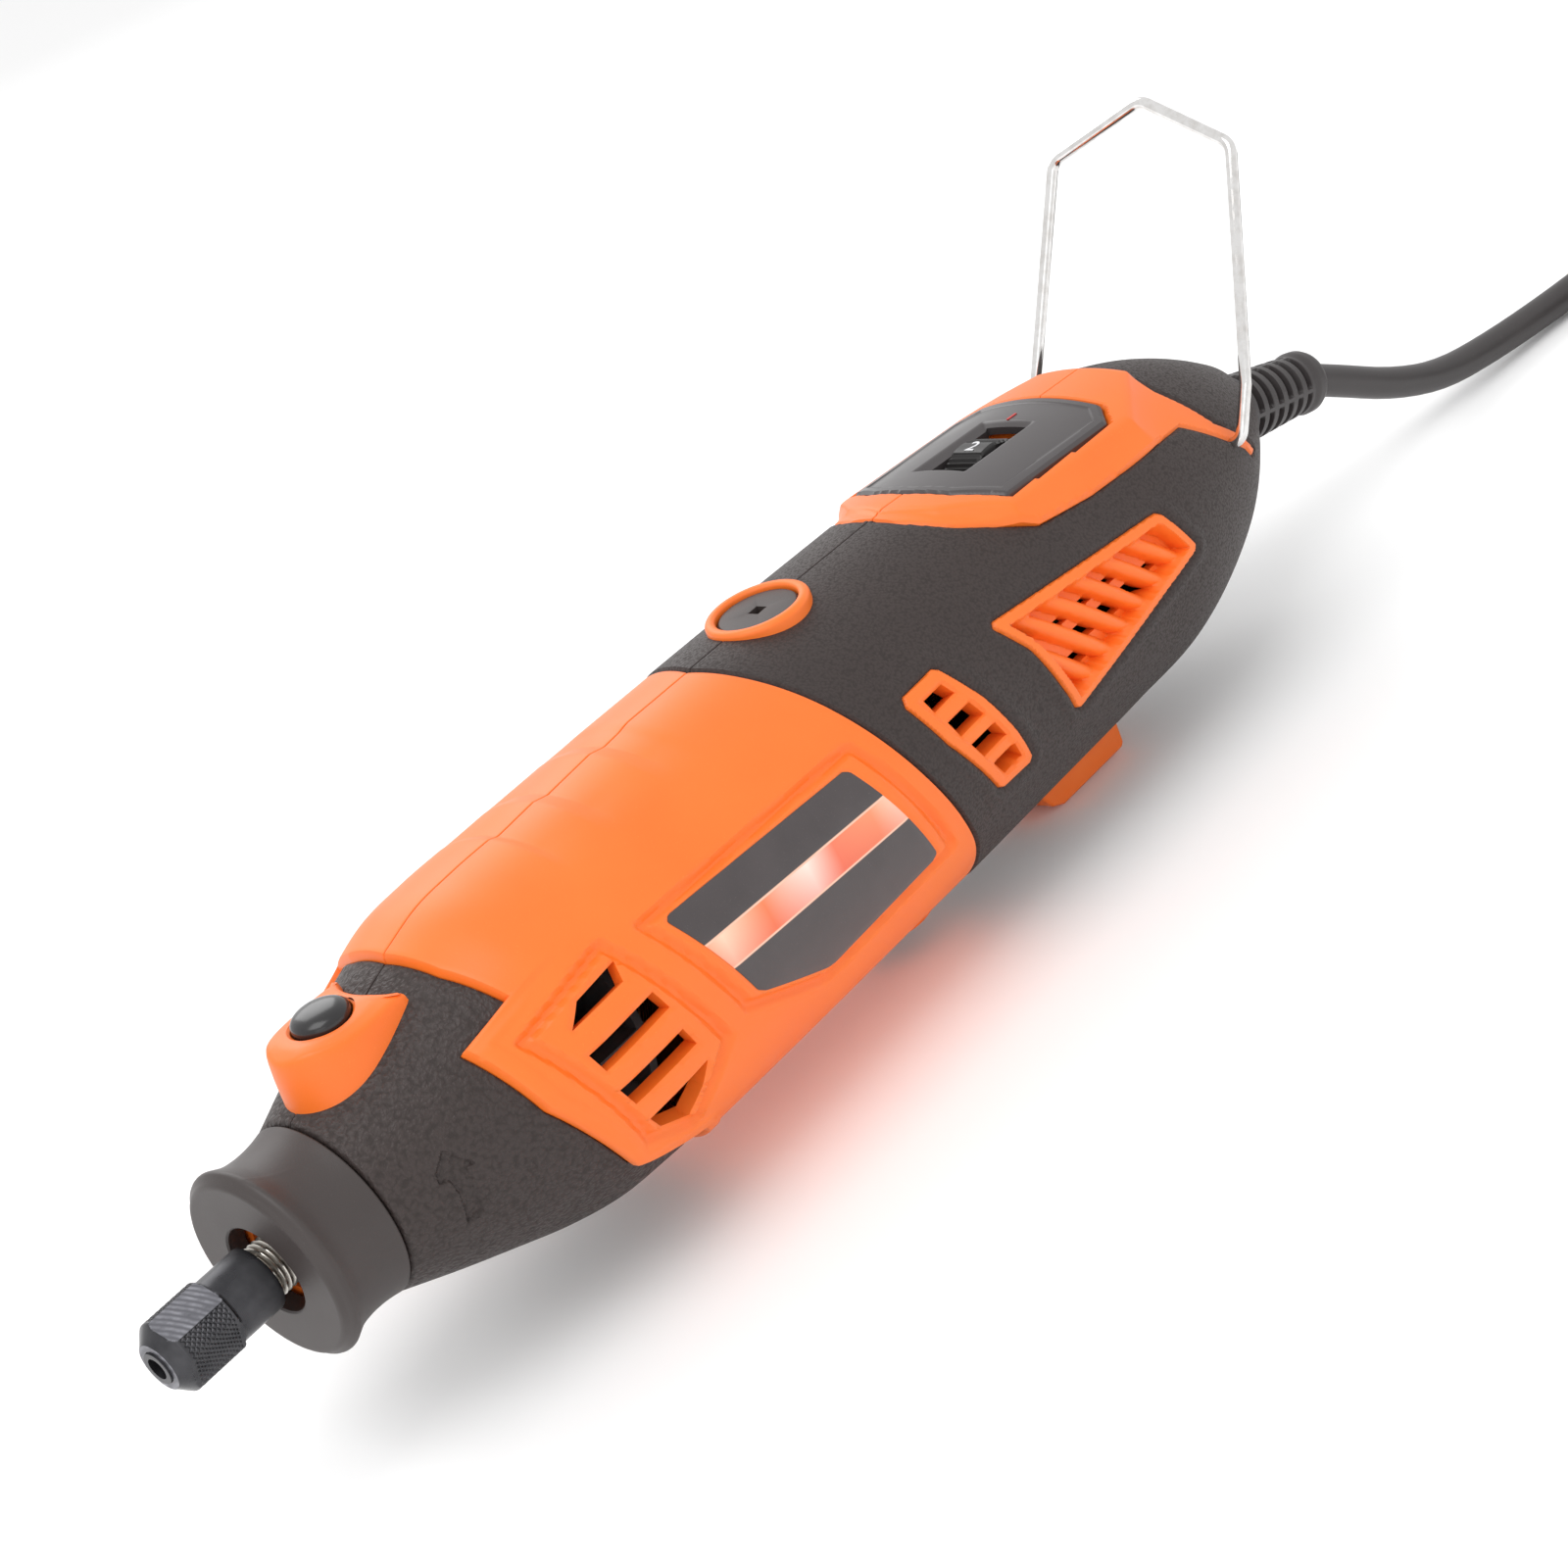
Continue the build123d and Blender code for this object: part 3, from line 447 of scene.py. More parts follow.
MOULDED, LEATHER, LAY = moulded_group(), leather_group(), lay_group()


def start_material(name, roughness, metallic=0.0, coat=0.0, specular=0.5):
    """A new material with its Principled shader."""
    material = bpy.data.materials.new(name)
    material.use_nodes = True
    tree = material.node_tree
    shader = tree.nodes["Principled BSDF"]
    for key, value in (("Roughness", roughness), ("Metallic", metallic), ("Coat Weight", coat)):
        shader.inputs[key].default_value = value
    shader.inputs["Specular IOR Level"].default_value = specular
    return material, tree, shader


def place_group(tree, group, **values):
    """A node group in a material, with its own input values."""
    made = node(tree, "ShaderNodeGroup", node_tree=group)
    for key, value in values.items():
        made.inputs[key].default_value = value
    return made.outputs


def bump(tree, shader, height, depth):
    """Height in the shader's normal, depth in metres."""
    made = node(tree, "ShaderNodeBump", {"Height": height, "Distance": depth, "Strength": 1.0})
    tree.links.new(made.outputs[0], shader.inputs["Normal"])


def gloss(tree, shader, mask, at_0, at_1):
    """Roughness that follows a mask."""
    tree.links.new(ramp(tree, mask, 0.0, 1.0, at_0, at_1), shader.inputs["Roughness"])


def colour(tree, shader, socket):
    """A colour output as the shader's base colour."""
    tree.links.new(socket, shader.inputs["Base Color"])


def moulded_plastic(name, base, drifted, roughness, grain=3500.0, depth=1.5e-5, coat=0.0, specular=0.5):
    """Moulded plastic: fine mould texture, with slow drifts of tone and gloss."""
    material, tree, shader = start_material(name, roughness, coat=coat, specular=specular)
    texture = place_group(tree, MOULDED, Scale=grain)
    tone = mix_colour(tree, texture["Drift"], base, drifted)
    lit = tuple(min(1.0, c * 1.25 + 0.01) for c in base)
    colour(tree, shader, mix_colour(tree, texture["Speck"], tone, lit))
    gloss(tree, shader, texture["Drift"], roughness - 0.04, roughness + 0.05)
    bump(tree, shader, texture["Height"], depth)
    return material


def grained_rubber(name, base, crease_shade, roughness, scale, depth, pull=0.5):
    """Soft-touch rubber with a leather grain, with painted shade in the creases: darker there."""
    material, tree, shader = start_material(name, roughness, specular=0.35)
    grain = place_group(tree, LEATHER, Scale=scale, Pull=pull)
    lit = tuple(c * 1.12 for c in base)
    tone = mix_colour(tree, grain["Drift"], base, lit)
    # painted shade: the grain's creases darker than the cells between them
    colour(tree, shader, mix_colour(tree, grain["Crease"], tone, crease_shade))
    gloss(tree, shader, grain["Crease"], roughness - 0.05, roughness + 0.16)
    bump(tree, shader, grain["Height"], depth)
    return material


def marked_metal(name, base, worn, roughness, scale=900.0, break_up=2.0, depth=6e-6, metallic=1.0):
    """Turned or stacked metal with tool marks round it."""
    material, tree, shader = start_material(name, roughness, metallic=metallic)
    marks = place_group(tree, LAY, Scale=scale, Break=break_up)
    colour(tree, shader, mix_colour(tree, marks["Tone"], base, worn))
    gloss(tree, shader, marks["Tone"], roughness - 0.06, roughness + 0.1)
    bump(tree, shader, marks["Height"], depth)
    return material


def threaded_steel():
    """Bright steel with painted shade in the thread's roots: darker below the crests, as the tone follows
    the distance from the spindle axis."""
    material, tree, shader = start_material("threaded_steel", 0.3, metallic=1.0)
    place = object_place(tree)
    flat = node(
        tree, "ShaderNodeVectorMath", {0: place, 1: (0.0, 1.0, 1.0)}, operation="MULTIPLY"
    ).outputs[0]
    radius = node(tree, "ShaderNodeVectorMath", {0: flat}, operation="LENGTH").outputs["Value"]
    crest = ramp(tree, radius, 3.62 * MM, 3.9 * MM)
    # painted shade: the thread's roots darker and rougher than its crests
    colour(tree, shader, mix_colour(tree, crest, (0.16, 0.14, 0.12), (0.62, 0.59, 0.54)))
    gloss(tree, shader, crest, 0.5, 0.28)
    return material


def milled_flat():
    """Steel milled with a fly cutter: a wave in rings about a point beside the nut leaves curved cutter
    marks."""
    material, tree, shader = start_material("milled_flat", 0.36, metallic=0.85)
    place = object_place(tree)
    moved = node(tree, "ShaderNodeMapping", {"Vector": place, "Location": (0.016, 0.006, 0.010)}).outputs[0]
    inputs = {"Vector": moved, "Scale": 420.0, "Distortion": 1.2, "Detail": 3.0, "Detail Scale": 2.0}
    rings = node(
        tree, "ShaderNodeTexWave", inputs, wave_type="RINGS", rings_direction="SPHERICAL"
    ).outputs["Fac"]
    fine = node(tree, "ShaderNodeTexNoise", {"Vector": place, "Scale": 700.0, "Detail": 5.0}).outputs[0]
    tone = math_node(tree, "MULTIPLY", rings, ramp(tree, fine, 0.3, 0.7))
    colour(tree, shader, mix_colour(tree, tone, (0.13, 0.13, 0.145), (0.30, 0.30, 0.33)))
    bump(tree, shader, rings, 1.2e-5)
    return material


def chrome():
    """Bright plated wire with faint pitting."""
    material, tree, shader = start_material("chrome_plate", 0.08, metallic=1.0)
    place = object_place(tree)
    pits = node(tree, "ShaderNodeTexNoise", {"Vector": place, "Scale": 500.0, "Detail": 3.0}).outputs[0]
    colour(
        tree, shader, mix_colour(tree, ramp(tree, pits, 0.4, 0.7), (0.80, 0.79, 0.78), (0.66, 0.64, 0.62))
    )
    tree.links.new(ramp(tree, pits, 0.4, 0.7, 0.06, 0.2), shader.inputs["Roughness"])
    return material


def wound_wire():
    """Enamelled copper wire: close bands round the coil with varnish over them, and painted shade that
    makes the grooves between the turns darker.
    """
    material, tree, shader = start_material("wound_copper", 0.3, metallic=0.8, coat=0.4)
    marks = place_group(tree, LAY, Scale=700.0, Break=1.0)
    # painted shade: the wire darker where the bands' height is low, in the grooves between turns
    colour(tree, shader, mix_colour(tree, marks["Height"], (0.22, 0.07, 0.025), (0.62, 0.26, 0.10)))
    bump(tree, shader, marks["Height"], 1.5e-4)
    return material


def woven_strap():
    """Woven nylon: two crossed waves, with painted shade that makes the hollows of the weave darker."""
    material, tree, shader = start_material("woven_nylon", 0.75)
    place = object_place(tree)
    warp = node(
        tree, "ShaderNodeTexWave", {"Vector": place, "Scale": 500.0}, bands_direction="Y"
    ).outputs["Fac"]
    weft = node(
        tree, "ShaderNodeTexWave", {"Vector": place, "Scale": 380.0}, bands_direction="DIAGONAL"
    ).outputs["Fac"]
    height = math_node(tree, "MULTIPLY", warp, weft)
    # painted shade: the weave darker where its height is low
    colour(tree, shader, mix_colour(tree, height, (0.012, 0.012, 0.014), (0.05, 0.05, 0.056)))
    bump(tree, shader, height, 1.5e-4)
    return material


def label_print():
    """Printed label: a dark ground and one slanting band between pale lines, printed orange and red, with
    painted highlights where it runs through white.

    The piece's own map gives the place: U along the tool and V down the side, in units of 100 mm."""
    material, tree, shader = start_material("label_print", 0.3, coat=0.25)
    place = node(tree, "ShaderNodeUVMap").outputs[0]
    apart = node(tree, "ShaderNodeSeparateXYZ", {0: place}).outputs
    band_start, fall = 0.84, 0.044
    slant = math_node(tree, "MULTIPLY", math_node(tree, "SUBTRACT", apart[0], band_start), fall)
    down = math_node(tree, "SUBTRACT", apart[1], slant)
    top, foot = 74.2 * ARC / 100, 85.0 * ARC / 100
    soft = 0.0009
    line_core, line_edge = 0.0009, 0.0021
    below_top = ramp(tree, down, top - soft, top + soft)
    above_foot = ramp(tree, down, foot - soft, foot + soft, 1.0, 0.0)
    band = math_node(tree, "MULTIPLY", below_top, above_foot)
    band_print_and_highlights = node(tree, "ShaderNodeValToRGB", {"Fac": ramp(tree, apart[0], 0.82, 1.29)})
    stops = band_print_and_highlights.color_ramp.elements
    stops[0].color, stops[1].color = (0.88, 0.16, 0.03, 1), (0.86, 0.10, 0.04, 1)
    # the near-white tints along the band are painted highlights; the orange and red ones are the print
    tints = [(0.12, (1.0, 0.66, 0.48)), (0.3, (0.92, 0.22, 0.08)), (0.5, (1.0, 0.80, 0.70))]
    tints += [(0.62, (0.9, 0.2, 0.1)), (0.8, (0.94, 0.30, 0.14)), (0.92, (1.0, 0.72, 0.55))]
    for at, tint in tints:
        stops.new(at).color = (*tint, 1)
    across = ramp(tree, down, top, foot)
    tinted = mix_colour(
        tree, math_node(tree, "MULTIPLY", across, 0.45), band_print_and_highlights.outputs[0], (0.75, 0.07, 0.03)
    )

    def pale_line(at):
        """1 on a thin line at that place down the side, and 0 away from it."""
        away = math_node(tree, "ABSOLUTE", math_node(tree, "SUBTRACT", down, at))
        return ramp(tree, away, line_core, line_edge, 1.0, 0.0)

    lines = math_node(tree, "MAXIMUM", pale_line(foot), pale_line(top))
    grain = place_group(tree, MOULDED, Scale=5000.0, Drift=150.0)
    ground = mix_colour(tree, grain["Drift"], (0.050, 0.040, 0.041), (0.062, 0.050, 0.051))
    ground = mix_colour(tree, grain["Speck"], ground, (0.10, 0.08, 0.08))
    printed = mix_colour(tree, band, ground, tinted)
    colour(tree, shader, mix_colour(tree, lines, printed, (0.95, 0.55, 0.40)))
    bump(tree, shader, grain["Height"], 5e-6)
    return material


ORANGE = (0.93, 0.165, 0.013)
orange = moulded_plastic("orange_nylon", ORANGE, (0.94, 0.184, 0.018), 0.42, grain=4200.0, depth=1.4e-5)
# the second colour of each rubber is the painted shade in its grain's creases
grip = grained_rubber(
    "soft_grip_rubber", (0.040, 0.029, 0.027), (0.030, 0.022, 0.020), 0.48, 1500.0, 1.7e-4
)
grip_fine = grained_rubber(
    "soft_grip_rear", (0.040, 0.029, 0.027), (0.032, 0.024, 0.022), 0.54, 2400.0, 5e-5, pull=0.35
)
nose_black = moulded_plastic("nose_nylon", (0.040, 0.031, 0.029), (0.048, 0.038, 0.036), 0.46, depth=2.2e-5)
cover_black = moulded_plastic(
    "cover_nylon", (0.050, 0.043, 0.044), (0.058, 0.050, 0.051), 0.30, depth=6e-6, specular=0.6
)
button_black = moulded_plastic(
    "button_gloss", (0.012, 0.011, 0.012), (0.016, 0.015, 0.016), 0.27, 2500.0, 1e-6, coat=0.15
)
wheel_black = moulded_plastic("wheel_nylon", (0.014, 0.013, 0.013), (0.020, 0.018, 0.018), 0.34, depth=8e-6)
cord_black = moulded_plastic("cord_pvc", (0.034, 0.029, 0.029), (0.042, 0.036, 0.036), 0.42, 2200.0, 1.2e-5)
plug_black = moulded_plastic("plug_pvc", (0.020, 0.018, 0.018), (0.027, 0.025, 0.025), 0.44, 2600.0, 2.0e-5)
device_black = moulded_plastic("device_resin", (0.05, 0.05, 0.052), (0.07, 0.07, 0.072), 0.5)
board_green = moulded_plastic("board_mask", (0.02, 0.16, 0.06), (0.03, 0.20, 0.08), 0.35)
carbon_black = moulded_plastic("pressed_carbon", (0.03, 0.03, 0.032), (0.05, 0.05, 0.053), 0.5)
print_white = moulded_plastic("print_white", (0.82, 0.82, 0.84), (0.74, 0.74, 0.76), 0.4)
pointer_red = moulded_plastic("pointer_red", (0.62, 0.015, 0.012), (0.5, 0.012, 0.01), 0.4)
black_oxide = marked_metal(
    "black_oxide", (0.040, 0.040, 0.044), (0.075, 0.074, 0.08), 0.30, 1400.0, depth=4e-6, metallic=0.75
)
bright_steel = marked_metal("bright_steel", (0.55, 0.54, 0.53), (0.68, 0.67, 0.66), 0.26)
laminated = marked_metal(
    "lamination_stack", (0.16, 0.155, 0.15), (0.26, 0.25, 0.24), 0.45, 1250.0, 0.0, 8e-5, 0.8
)
brass = marked_metal("brass_part", (0.66, 0.44, 0.16), (0.80, 0.58, 0.26), 0.28)
thread_steel, flat_steel, chrome_plate = threaded_steel(), milled_flat(), chrome()
copper, strap, label_ink = wound_wire(), woven_strap(), label_print()

INNER_FINISHES = {
    bright_steel: ["front_bearing", "rear_bearing", "housing_screws", "lock_pin", "lock_spring"]
    + ["brush_spring_top", "brush_spring_bottom", "plug_pins"],
    laminated: ["armature_core", "stator_core"],
    black_oxide: ["collet"],
    copper: ["armature_windings", "field_coils"],
    brass: ["commutator", "brush_holder_top", "brush_holder_bottom"],
    carbon_black: ["carbon_brush_top", "carbon_brush_bottom"],
    device_black: ["cooling_fan", "speed_control", "triac", "noise_capacitor", "switch_body", "cord_clamp"],
    board_green: ["control_board"],
}
for finish, names in INNER_FINISHES.items():
    for name in names:
        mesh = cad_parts[name].data
        mesh.materials.clear()
        mesh.materials.append(finish)


# ---- nose: cap, nut, spindle ----
def make_nose_cap():
    """A flared ring: flat front face, rolled rim, a waist that is an arc, and a rear lip against the
    grip."""
    section = [(CAP_FRONT + 3.0, 9.5), (CAP_FRONT + 3.0, 6.75), (CAP_FRONT + 0.25, 6.75), (CAP_FRONT, 7.0)]
    section += [(CAP_FRONT, 12.9)] + arc(CAP_FRONT + 0.9, 13.0, 0.9, 180, 110, 4)
    section += arc(CAP_FRONT + 1.7, 13.75, 0.95, 125, 60, 5)
    waist = curve_through(
        [(21.4, 14.45), (23.0, 13.75), (25.2, 13.36), (27.4, 13.33), (29.4, 13.52), (31.0, 13.82)]
    )
    section += [(x, float(waist(x))) for x in np.linspace(21.5, 31.0, 30)]
    section += [(31.2, 13.72), (CAP_REAR, 13.5), (CAP_REAR, 9.5)]

    def shape(along, turn, radius):
        """A fine raised parting line runs down the waist at a slant."""
        line = 0.05 * np.exp(-(((turn - 12.0 - 2.2 * (along - 20.0)) / 0.5) ** 2))
        outside = (radius > 13.2) & (along > 20.2) & (along < 31)
        return along, radius + np.where(outside, line, 0.0)

    cap = turned_piece(
        "nose_cap_body", stretch(section, 0.7), 288, "nose_cap", nose_black, shape
    )
    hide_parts("nose_cap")
    ring = [(22.6, 6.0), (22.6, 9.2), (33.0, 9.2), (33.0, 6.0)]
    turned_piece("nose_spigot", stretch(ring, 1.0), 96, "housing", orange)


NUT_FLATS = (-70.0, 20.0, 110.0, 200.0)
NUT_R, NUT_FLAT_R = 5.4, 4.72


def beside_flat(turn):
    """Degrees from the middle of the nearest flat."""
    return np.abs((turn - NUT_FLATS[1] + 45.0) % 90.0 - 45.0)


def make_nut():
    """Collet nut: a cone, four milled flats with diamond knurling between, and a plain shoulder.

    The knurl is two crossed families of V grooves, at x + arc and x - arc."""
    section = [(0.3, 2.46), (0.3, 3.3)] + arc(0.5, 3.4, 0.2, 180, 130, 3)
    section += stretch([(0.5, 3.62), (2.15, 5.32)], 0.2) + stretch([(2.35, NUT_R), (10.15, NUT_R)], 0.1)
    section += [(10.3, 5.3), (10.45, 5.0), (10.6, 4.9)] + stretch([(10.9, 4.86), (17.5, 4.86)], 0.5)
    section += [(17.7, 4.8), (17.8, 4.6), (17.8, 4.02), (8.0, 4.02), (8.0, 2.46)]

    def groove(way):
        return 1.0 - np.minimum(1.0, np.abs(way % 1.0 - 0.5) / 0.3)

    def shape(along, turn, radius):
        off = beside_flat(turn)
        flat = NUT_FLAT_R / np.cos(np.radians(off))
        around = turn / 360.0 * 38.0
        knurled = ease((along - 2.5) / 0.3) * ease((10.1 - along) / 0.3) * (radius > 5.2)
        cut = 0.2 * np.maximum(groove(along * 1.1 + around), groove(along * 1.1 - around)) * knurled
        knurled_flat = np.abs((turn - NUT_FLATS[2] + 90.0) % 180.0 - 90.0) < 32.0
        cut = cut * np.where(knurled_flat, 1.0, ease((off - 29.4) / 1.2))
        shaped = np.where((radius > 4.9) & (along < 10.55), np.minimum(radius, flat), radius)
        return along, shaped - cut

    nut = turned_piece(
        "collet_nut_body", section, 420, "collet_nut", black_oxide, shape
    )
    mesh = nut.data
    mesh.materials.append(flat_steel)
    centre = np.empty(len(mesh.polygons) * 3)
    normal = np.empty(len(mesh.polygons) * 3)
    mesh.polygons.foreach_get("center", centre)
    mesh.polygons.foreach_get("normal", normal)
    x, y, z = centre.reshape(-1, 3).T / MM
    faces_out = normal.reshape(-1, 3)
    turn = np.degrees(np.arctan2(-y, z))
    off = beside_flat(turn)
    middle = np.radians(turn - ((turn - NUT_FLATS[1] + 45.0) % 90.0 - 45.0))
    level = -faces_out[:, 1] * np.sin(middle) + faces_out[:, 2] * np.cos(middle)
    flat = (level > 0.995) & (x > 1.2) & (x < 10.5) & (off < 30) & (
        np.abs((turn - NUT_FLATS[1] + 90.0) % 180.0 - 90.0) < 32.0
    )
    index = np.where(flat | ((faces_out[:, 0] < -0.9) & (x < 0.45)), 1, 0)
    mesh.polygons.foreach_set("material_index", index.astype(np.int32))
    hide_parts("collet_nut")


def make_spindle():
    """The stepped spindle, with four holes for the lock pin round its collar.

    Its nose has a helical thread: the crest runs on by one pitch in each turn."""
    pitch, depth = 0.8, 0.42
    section = [(8.5, 2.46), (8.5, 3.9)] + stretch([(8.6, 3.95), (26.0, 3.95)], 0.1) + [(39.0, 3.95)]
    section += stretch([(39.0, 7.4), (46.4, 7.4)], 0.2) + [
        (46.4, 3.95), (150.0, 3.95), (150.0, 2.95), (159.4, 2.95), (159.4, 0.3)
    ]
    section += [(17.5, 0.3), (17.5, 2.46)]

    def shape(along, turn, radius):
        saw = np.abs(((along / pitch - turn / 360.0) % 1.0) - 0.5) * 2.0
        threaded = (radius > 3.8) & (radius < 4.0) & (along > 8.8) & (along < 24.6)
        radius = radius - np.where(threaded, depth * np.clip(1.15 * saw - 0.1, 0, 1), 0.0)
        off_hole = np.hypot(along - LOCK_X, 5.2 * np.radians((turn + 45.0) % 90.0 - 45.0))
        return along, np.where((radius > 7) & (off_hole < 1.9), 4.0, radius)

    spindle = turned_piece("spindle_shaft", section, 144, "rotor", thread_steel, shape)
    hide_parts("spindle")


# ---- grips and shells ----
def make_front_grip(side, sign):
    """Soft front grip: x runs from the nose cap to the seam, on a profile that flares from 14 to 25 mm
    radius."""
    turn_line = half_turn(230, marks=SEAM_STEP)
    share = np.linspace(0, 1, 120)
    share -= 0.06 * np.sin(2 * np.pi * share) / (2 * np.pi)  # rows a little closer at both ends
    share, turn = np.meshgrid(share, turn_line, indexing="ij")
    seam = front_seam(turn)
    x = GRIP_FRONT + share * (seam - GRIP_FRONT)

    def hole(px, skin):
        return np.hypot(px - LOCK_X, front_skin(px) * np.sin(np.radians(skin / ARC))) - LOCK_HOLE_R

    x, skin, keep = trim(x, turn * ARC, hole, 0.8)
    turn = skin / ARC
    r = front_skin(x)
    level = r - rounded(x - GRIP_FRONT, 0.45) - rounded(np.abs(seam - x), 0.5) - parting(r, turn)
    arrow_radius = 17.2
    arc_here = np.radians(1.0) * arrow_radius
    arrow = distance(x, turn * arc_here, [(px, pt * arc_here) for px, pt in ARROW])
    level = level - 0.6 * ease((0.1 - arrow) / 0.35)
    wall = body_wall(f"front_grip_skin_{side}", x, turn, level, 1.2, keep, sign, grip)
    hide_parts(f"front_grip_{side}")


def channel(inside, width, depth):
    """A channel just inside an outline: down, a narrow floor, and up again."""
    return -depth * ease(inside / 1.15) * ease((width - inside) / 1.15)


def make_middle(side, sign):
    """Orange middle between the two seams, with channels about the label and the vent, and slots cut
    through."""
    turn_line = half_turn(206, marks=SEAM_STEP)
    share, turn = np.meshgrid(np.linspace(0, 1, 205), turn_line, indexing="ij")
    start, end = front_seam(turn), rear_seam(turn)
    x = start + share * (end - start)

    def slots(px, skin):
        return np.minimum.reduce([distance(px, skin, outline) for outline in FRONT_SLOTS])

    x, skin, keep = trim(x, turn * ARC, slots, 0.7)
    turn = skin / ARC
    r = mid_skin(x)
    from_front = distance_to_seam(x, skin)
    level = r - rounded(from_front, 0.55) - rounded(np.abs(end - x), 0.6) - parting(r, turn)
    # a raised border runs along the front seam and falls to the panel over a crease
    level += 0.30 * ease(from_front / 0.6) * ease((3.0 - from_front) / 0.9) * ease((turn - 49.0) / 5.0)
    vent = -distance(x, skin, VENT_CHANNEL)
    level += channel(vent, 2.7, 1.0) - 0.12 * ease((vent - 2.3) / 0.8)
    label = -distance(x, skin, LABEL_CHANNEL)
    level += channel(label, 2.6, 0.9)
    seat = -distance(x, skin, LABEL)
    level -= 0.45 * ease((seat + 0.4) / 0.9)
    # a soft roll about each cut slot
    opening = slots(x, skin)
    level -= rounded(np.maximum(opening, 0), 0.35)
    # shallow thumb flutes over the top, each a slow fall and a quick rise along x
    along = (x - 77.5 + 0.02 * skin) / 6.0
    tooth = np.minimum((along % 2.0) / 1.55, (2.0 - along % 2.0) / 0.45)
    flutes = ease((x - 77.5) / 2.0) * ease((107.5 - x) / 3.0) * ease((33.0 - turn) / 16.0)
    level -= 0.6 * (1.0 - tooth) * flutes
    wall = body_wall(f"orange_shell_{side}", x, turn, level, 2.3, keep, sign, orange)
    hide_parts(f"housing_{side}")


def distance_to_seam(x, skin):
    """Distance on the skin back to the front seam's line of corners."""
    points = [(px, turn * ARC) for turn, px in FRONT_SEAM]
    nearest = np.full(x.shape, 1e9)
    for (ax, ay), (bx, by) in zip(points, points[1:]):
        ex, ey = bx - ax, by - ay
        t = np.clip(((x - ax) * ex + (skin - ay) * ey) / (ex * ex + ey * ey), 0, 1)
        nearest = np.minimum(nearest, np.hypot(x - ax - t * ex, skin - ay - t * ey))
    return nearest


def patch(outline, margin, step):
    """A square grid over an outline's box, with a margin."""
    points = np.array(outline)
    low, high = points.min(0) - margin, points.max(0) + margin
    count = np.ceil((high - low) / step).astype(int) + 1
    return np.meshgrid(
        np.linspace(low[0], high[0], count[0]), np.linspace(low[1], high[1], count[1]), indexing="ij"
    )


def make_label(side, sign):
    """Label panel: a thin plate on the skin inside the label's outline, mapped by x and skin."""
    x, skin = patch(LABEL, 0.6, 0.5)
    x, skin, keep = trim(x, skin, lambda px, py: -distance(px, py, LABEL) - 0.15, 0.8)
    inside = -distance(x, skin, LABEL) - 0.15
    level = mid_skin(x) - 0.12 - rounded(np.maximum(inside, 0), 0.1)
    label = body_wall(
        f"label_panel_{side}", x, skin / ARC, level, 0.5, keep, sign, label_ink
    )
    mesh = label.data
    corner = np.empty(len(mesh.vertices) * 3)
    mesh.vertices.foreach_get("co", corner)
    px, py, pz = corner.reshape(-1, 3).T / MM
    place = np.stack([px, np.degrees(np.arctan2(np.abs(py), pz)) * ARC], -1) / 100.0
    index = np.empty(len(mesh.loops), np.int32)
    mesh.loops.foreach_get("vertex_index", index)
    mesh.uv_layers.new(name="UVMap").data.foreach_set("uv", place[index].ravel())
    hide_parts(f"label_{side}")


def height_of(x, skin):
    """Z of a place on the rear skin."""
    return rear_skin(x) * np.cos(np.radians(skin / ARC))


def off_vents(x, skin):
    """Distance in the side view to the nearer vent, negative inside."""
    z = height_of(x, skin)
    return np.minimum(distance(x, z, SMALL_VENT), distance(x, z, LARGE_VENT))


def off_deck(x, skin):
    """Distance in the side view to the orange deck and its strips, negative inside."""
    return distance(x, height_of(x, skin), DECK_ZONE)


def off_brush(x, skin):
    """Distance to the brush rings above and below, seen from above."""
    return np.hypot(x - BRUSH_X, rear_skin(x) * np.sin(np.radians(skin / ARC))) - 7.7


def make_rear_grip(side, sign):
    """Soft rear grip: from the rear seam to the tail, with windows for the vents, the deck and the
    brush rings."""
    turn_line = half_turn(178)
    share, turn = np.meshgrid(np.linspace(0, 1, 236), turn_line, indexing="ij")
    start = rear_seam(turn)
    x = start + share * (TAIL - start)

    def windows(px, skin):
        return np.minimum.reduce([off_vents(px, skin), off_deck(px, skin), off_brush(px, skin)])

    x, skin, keep = trim(x, turn * ARC, windows, 0.9)
    turn = skin / ARC
    r = rear_skin(x)
    vents, deck = off_vents(x, skin), off_deck(x, skin)
    level = r - rounded(x - start, 0.7) - rounded(TAIL - x, 1.2) - parting(r, turn)
    level -= rounded(np.maximum(vents, 0), 0.5) + rounded(np.maximum(deck, 0), 0.6)
    # a soft lip stands up round the vents
    level += 0.32 * np.exp(-(((vents - 1.5) / 0.9) ** 2))
    wall = body_wall(f"rear_grip_skin_{side}", x, turn, level, 1.3, keep, sign, grip_fine)
    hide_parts(f"rear_grip_{side}")


def side_patch(outline, step):
    """A grid over a side-view outline, as x and skin, whose skin span comes from the outline's lowest and
    highest z on a 26.5 mm radius."""
    low_z, high_z = min(z for _, z in outline) - 1.0, max(z for _, z in outline) + 1.0
    turn = np.degrees(np.arccos(np.array([high_z, low_z]) / 26.5))
    return patch(
        [(min(x for x, _ in outline), turn[0] * ARC), (max(x for x, _ in outline), turn[1] * ARC)], 1.0,
        step,
    )


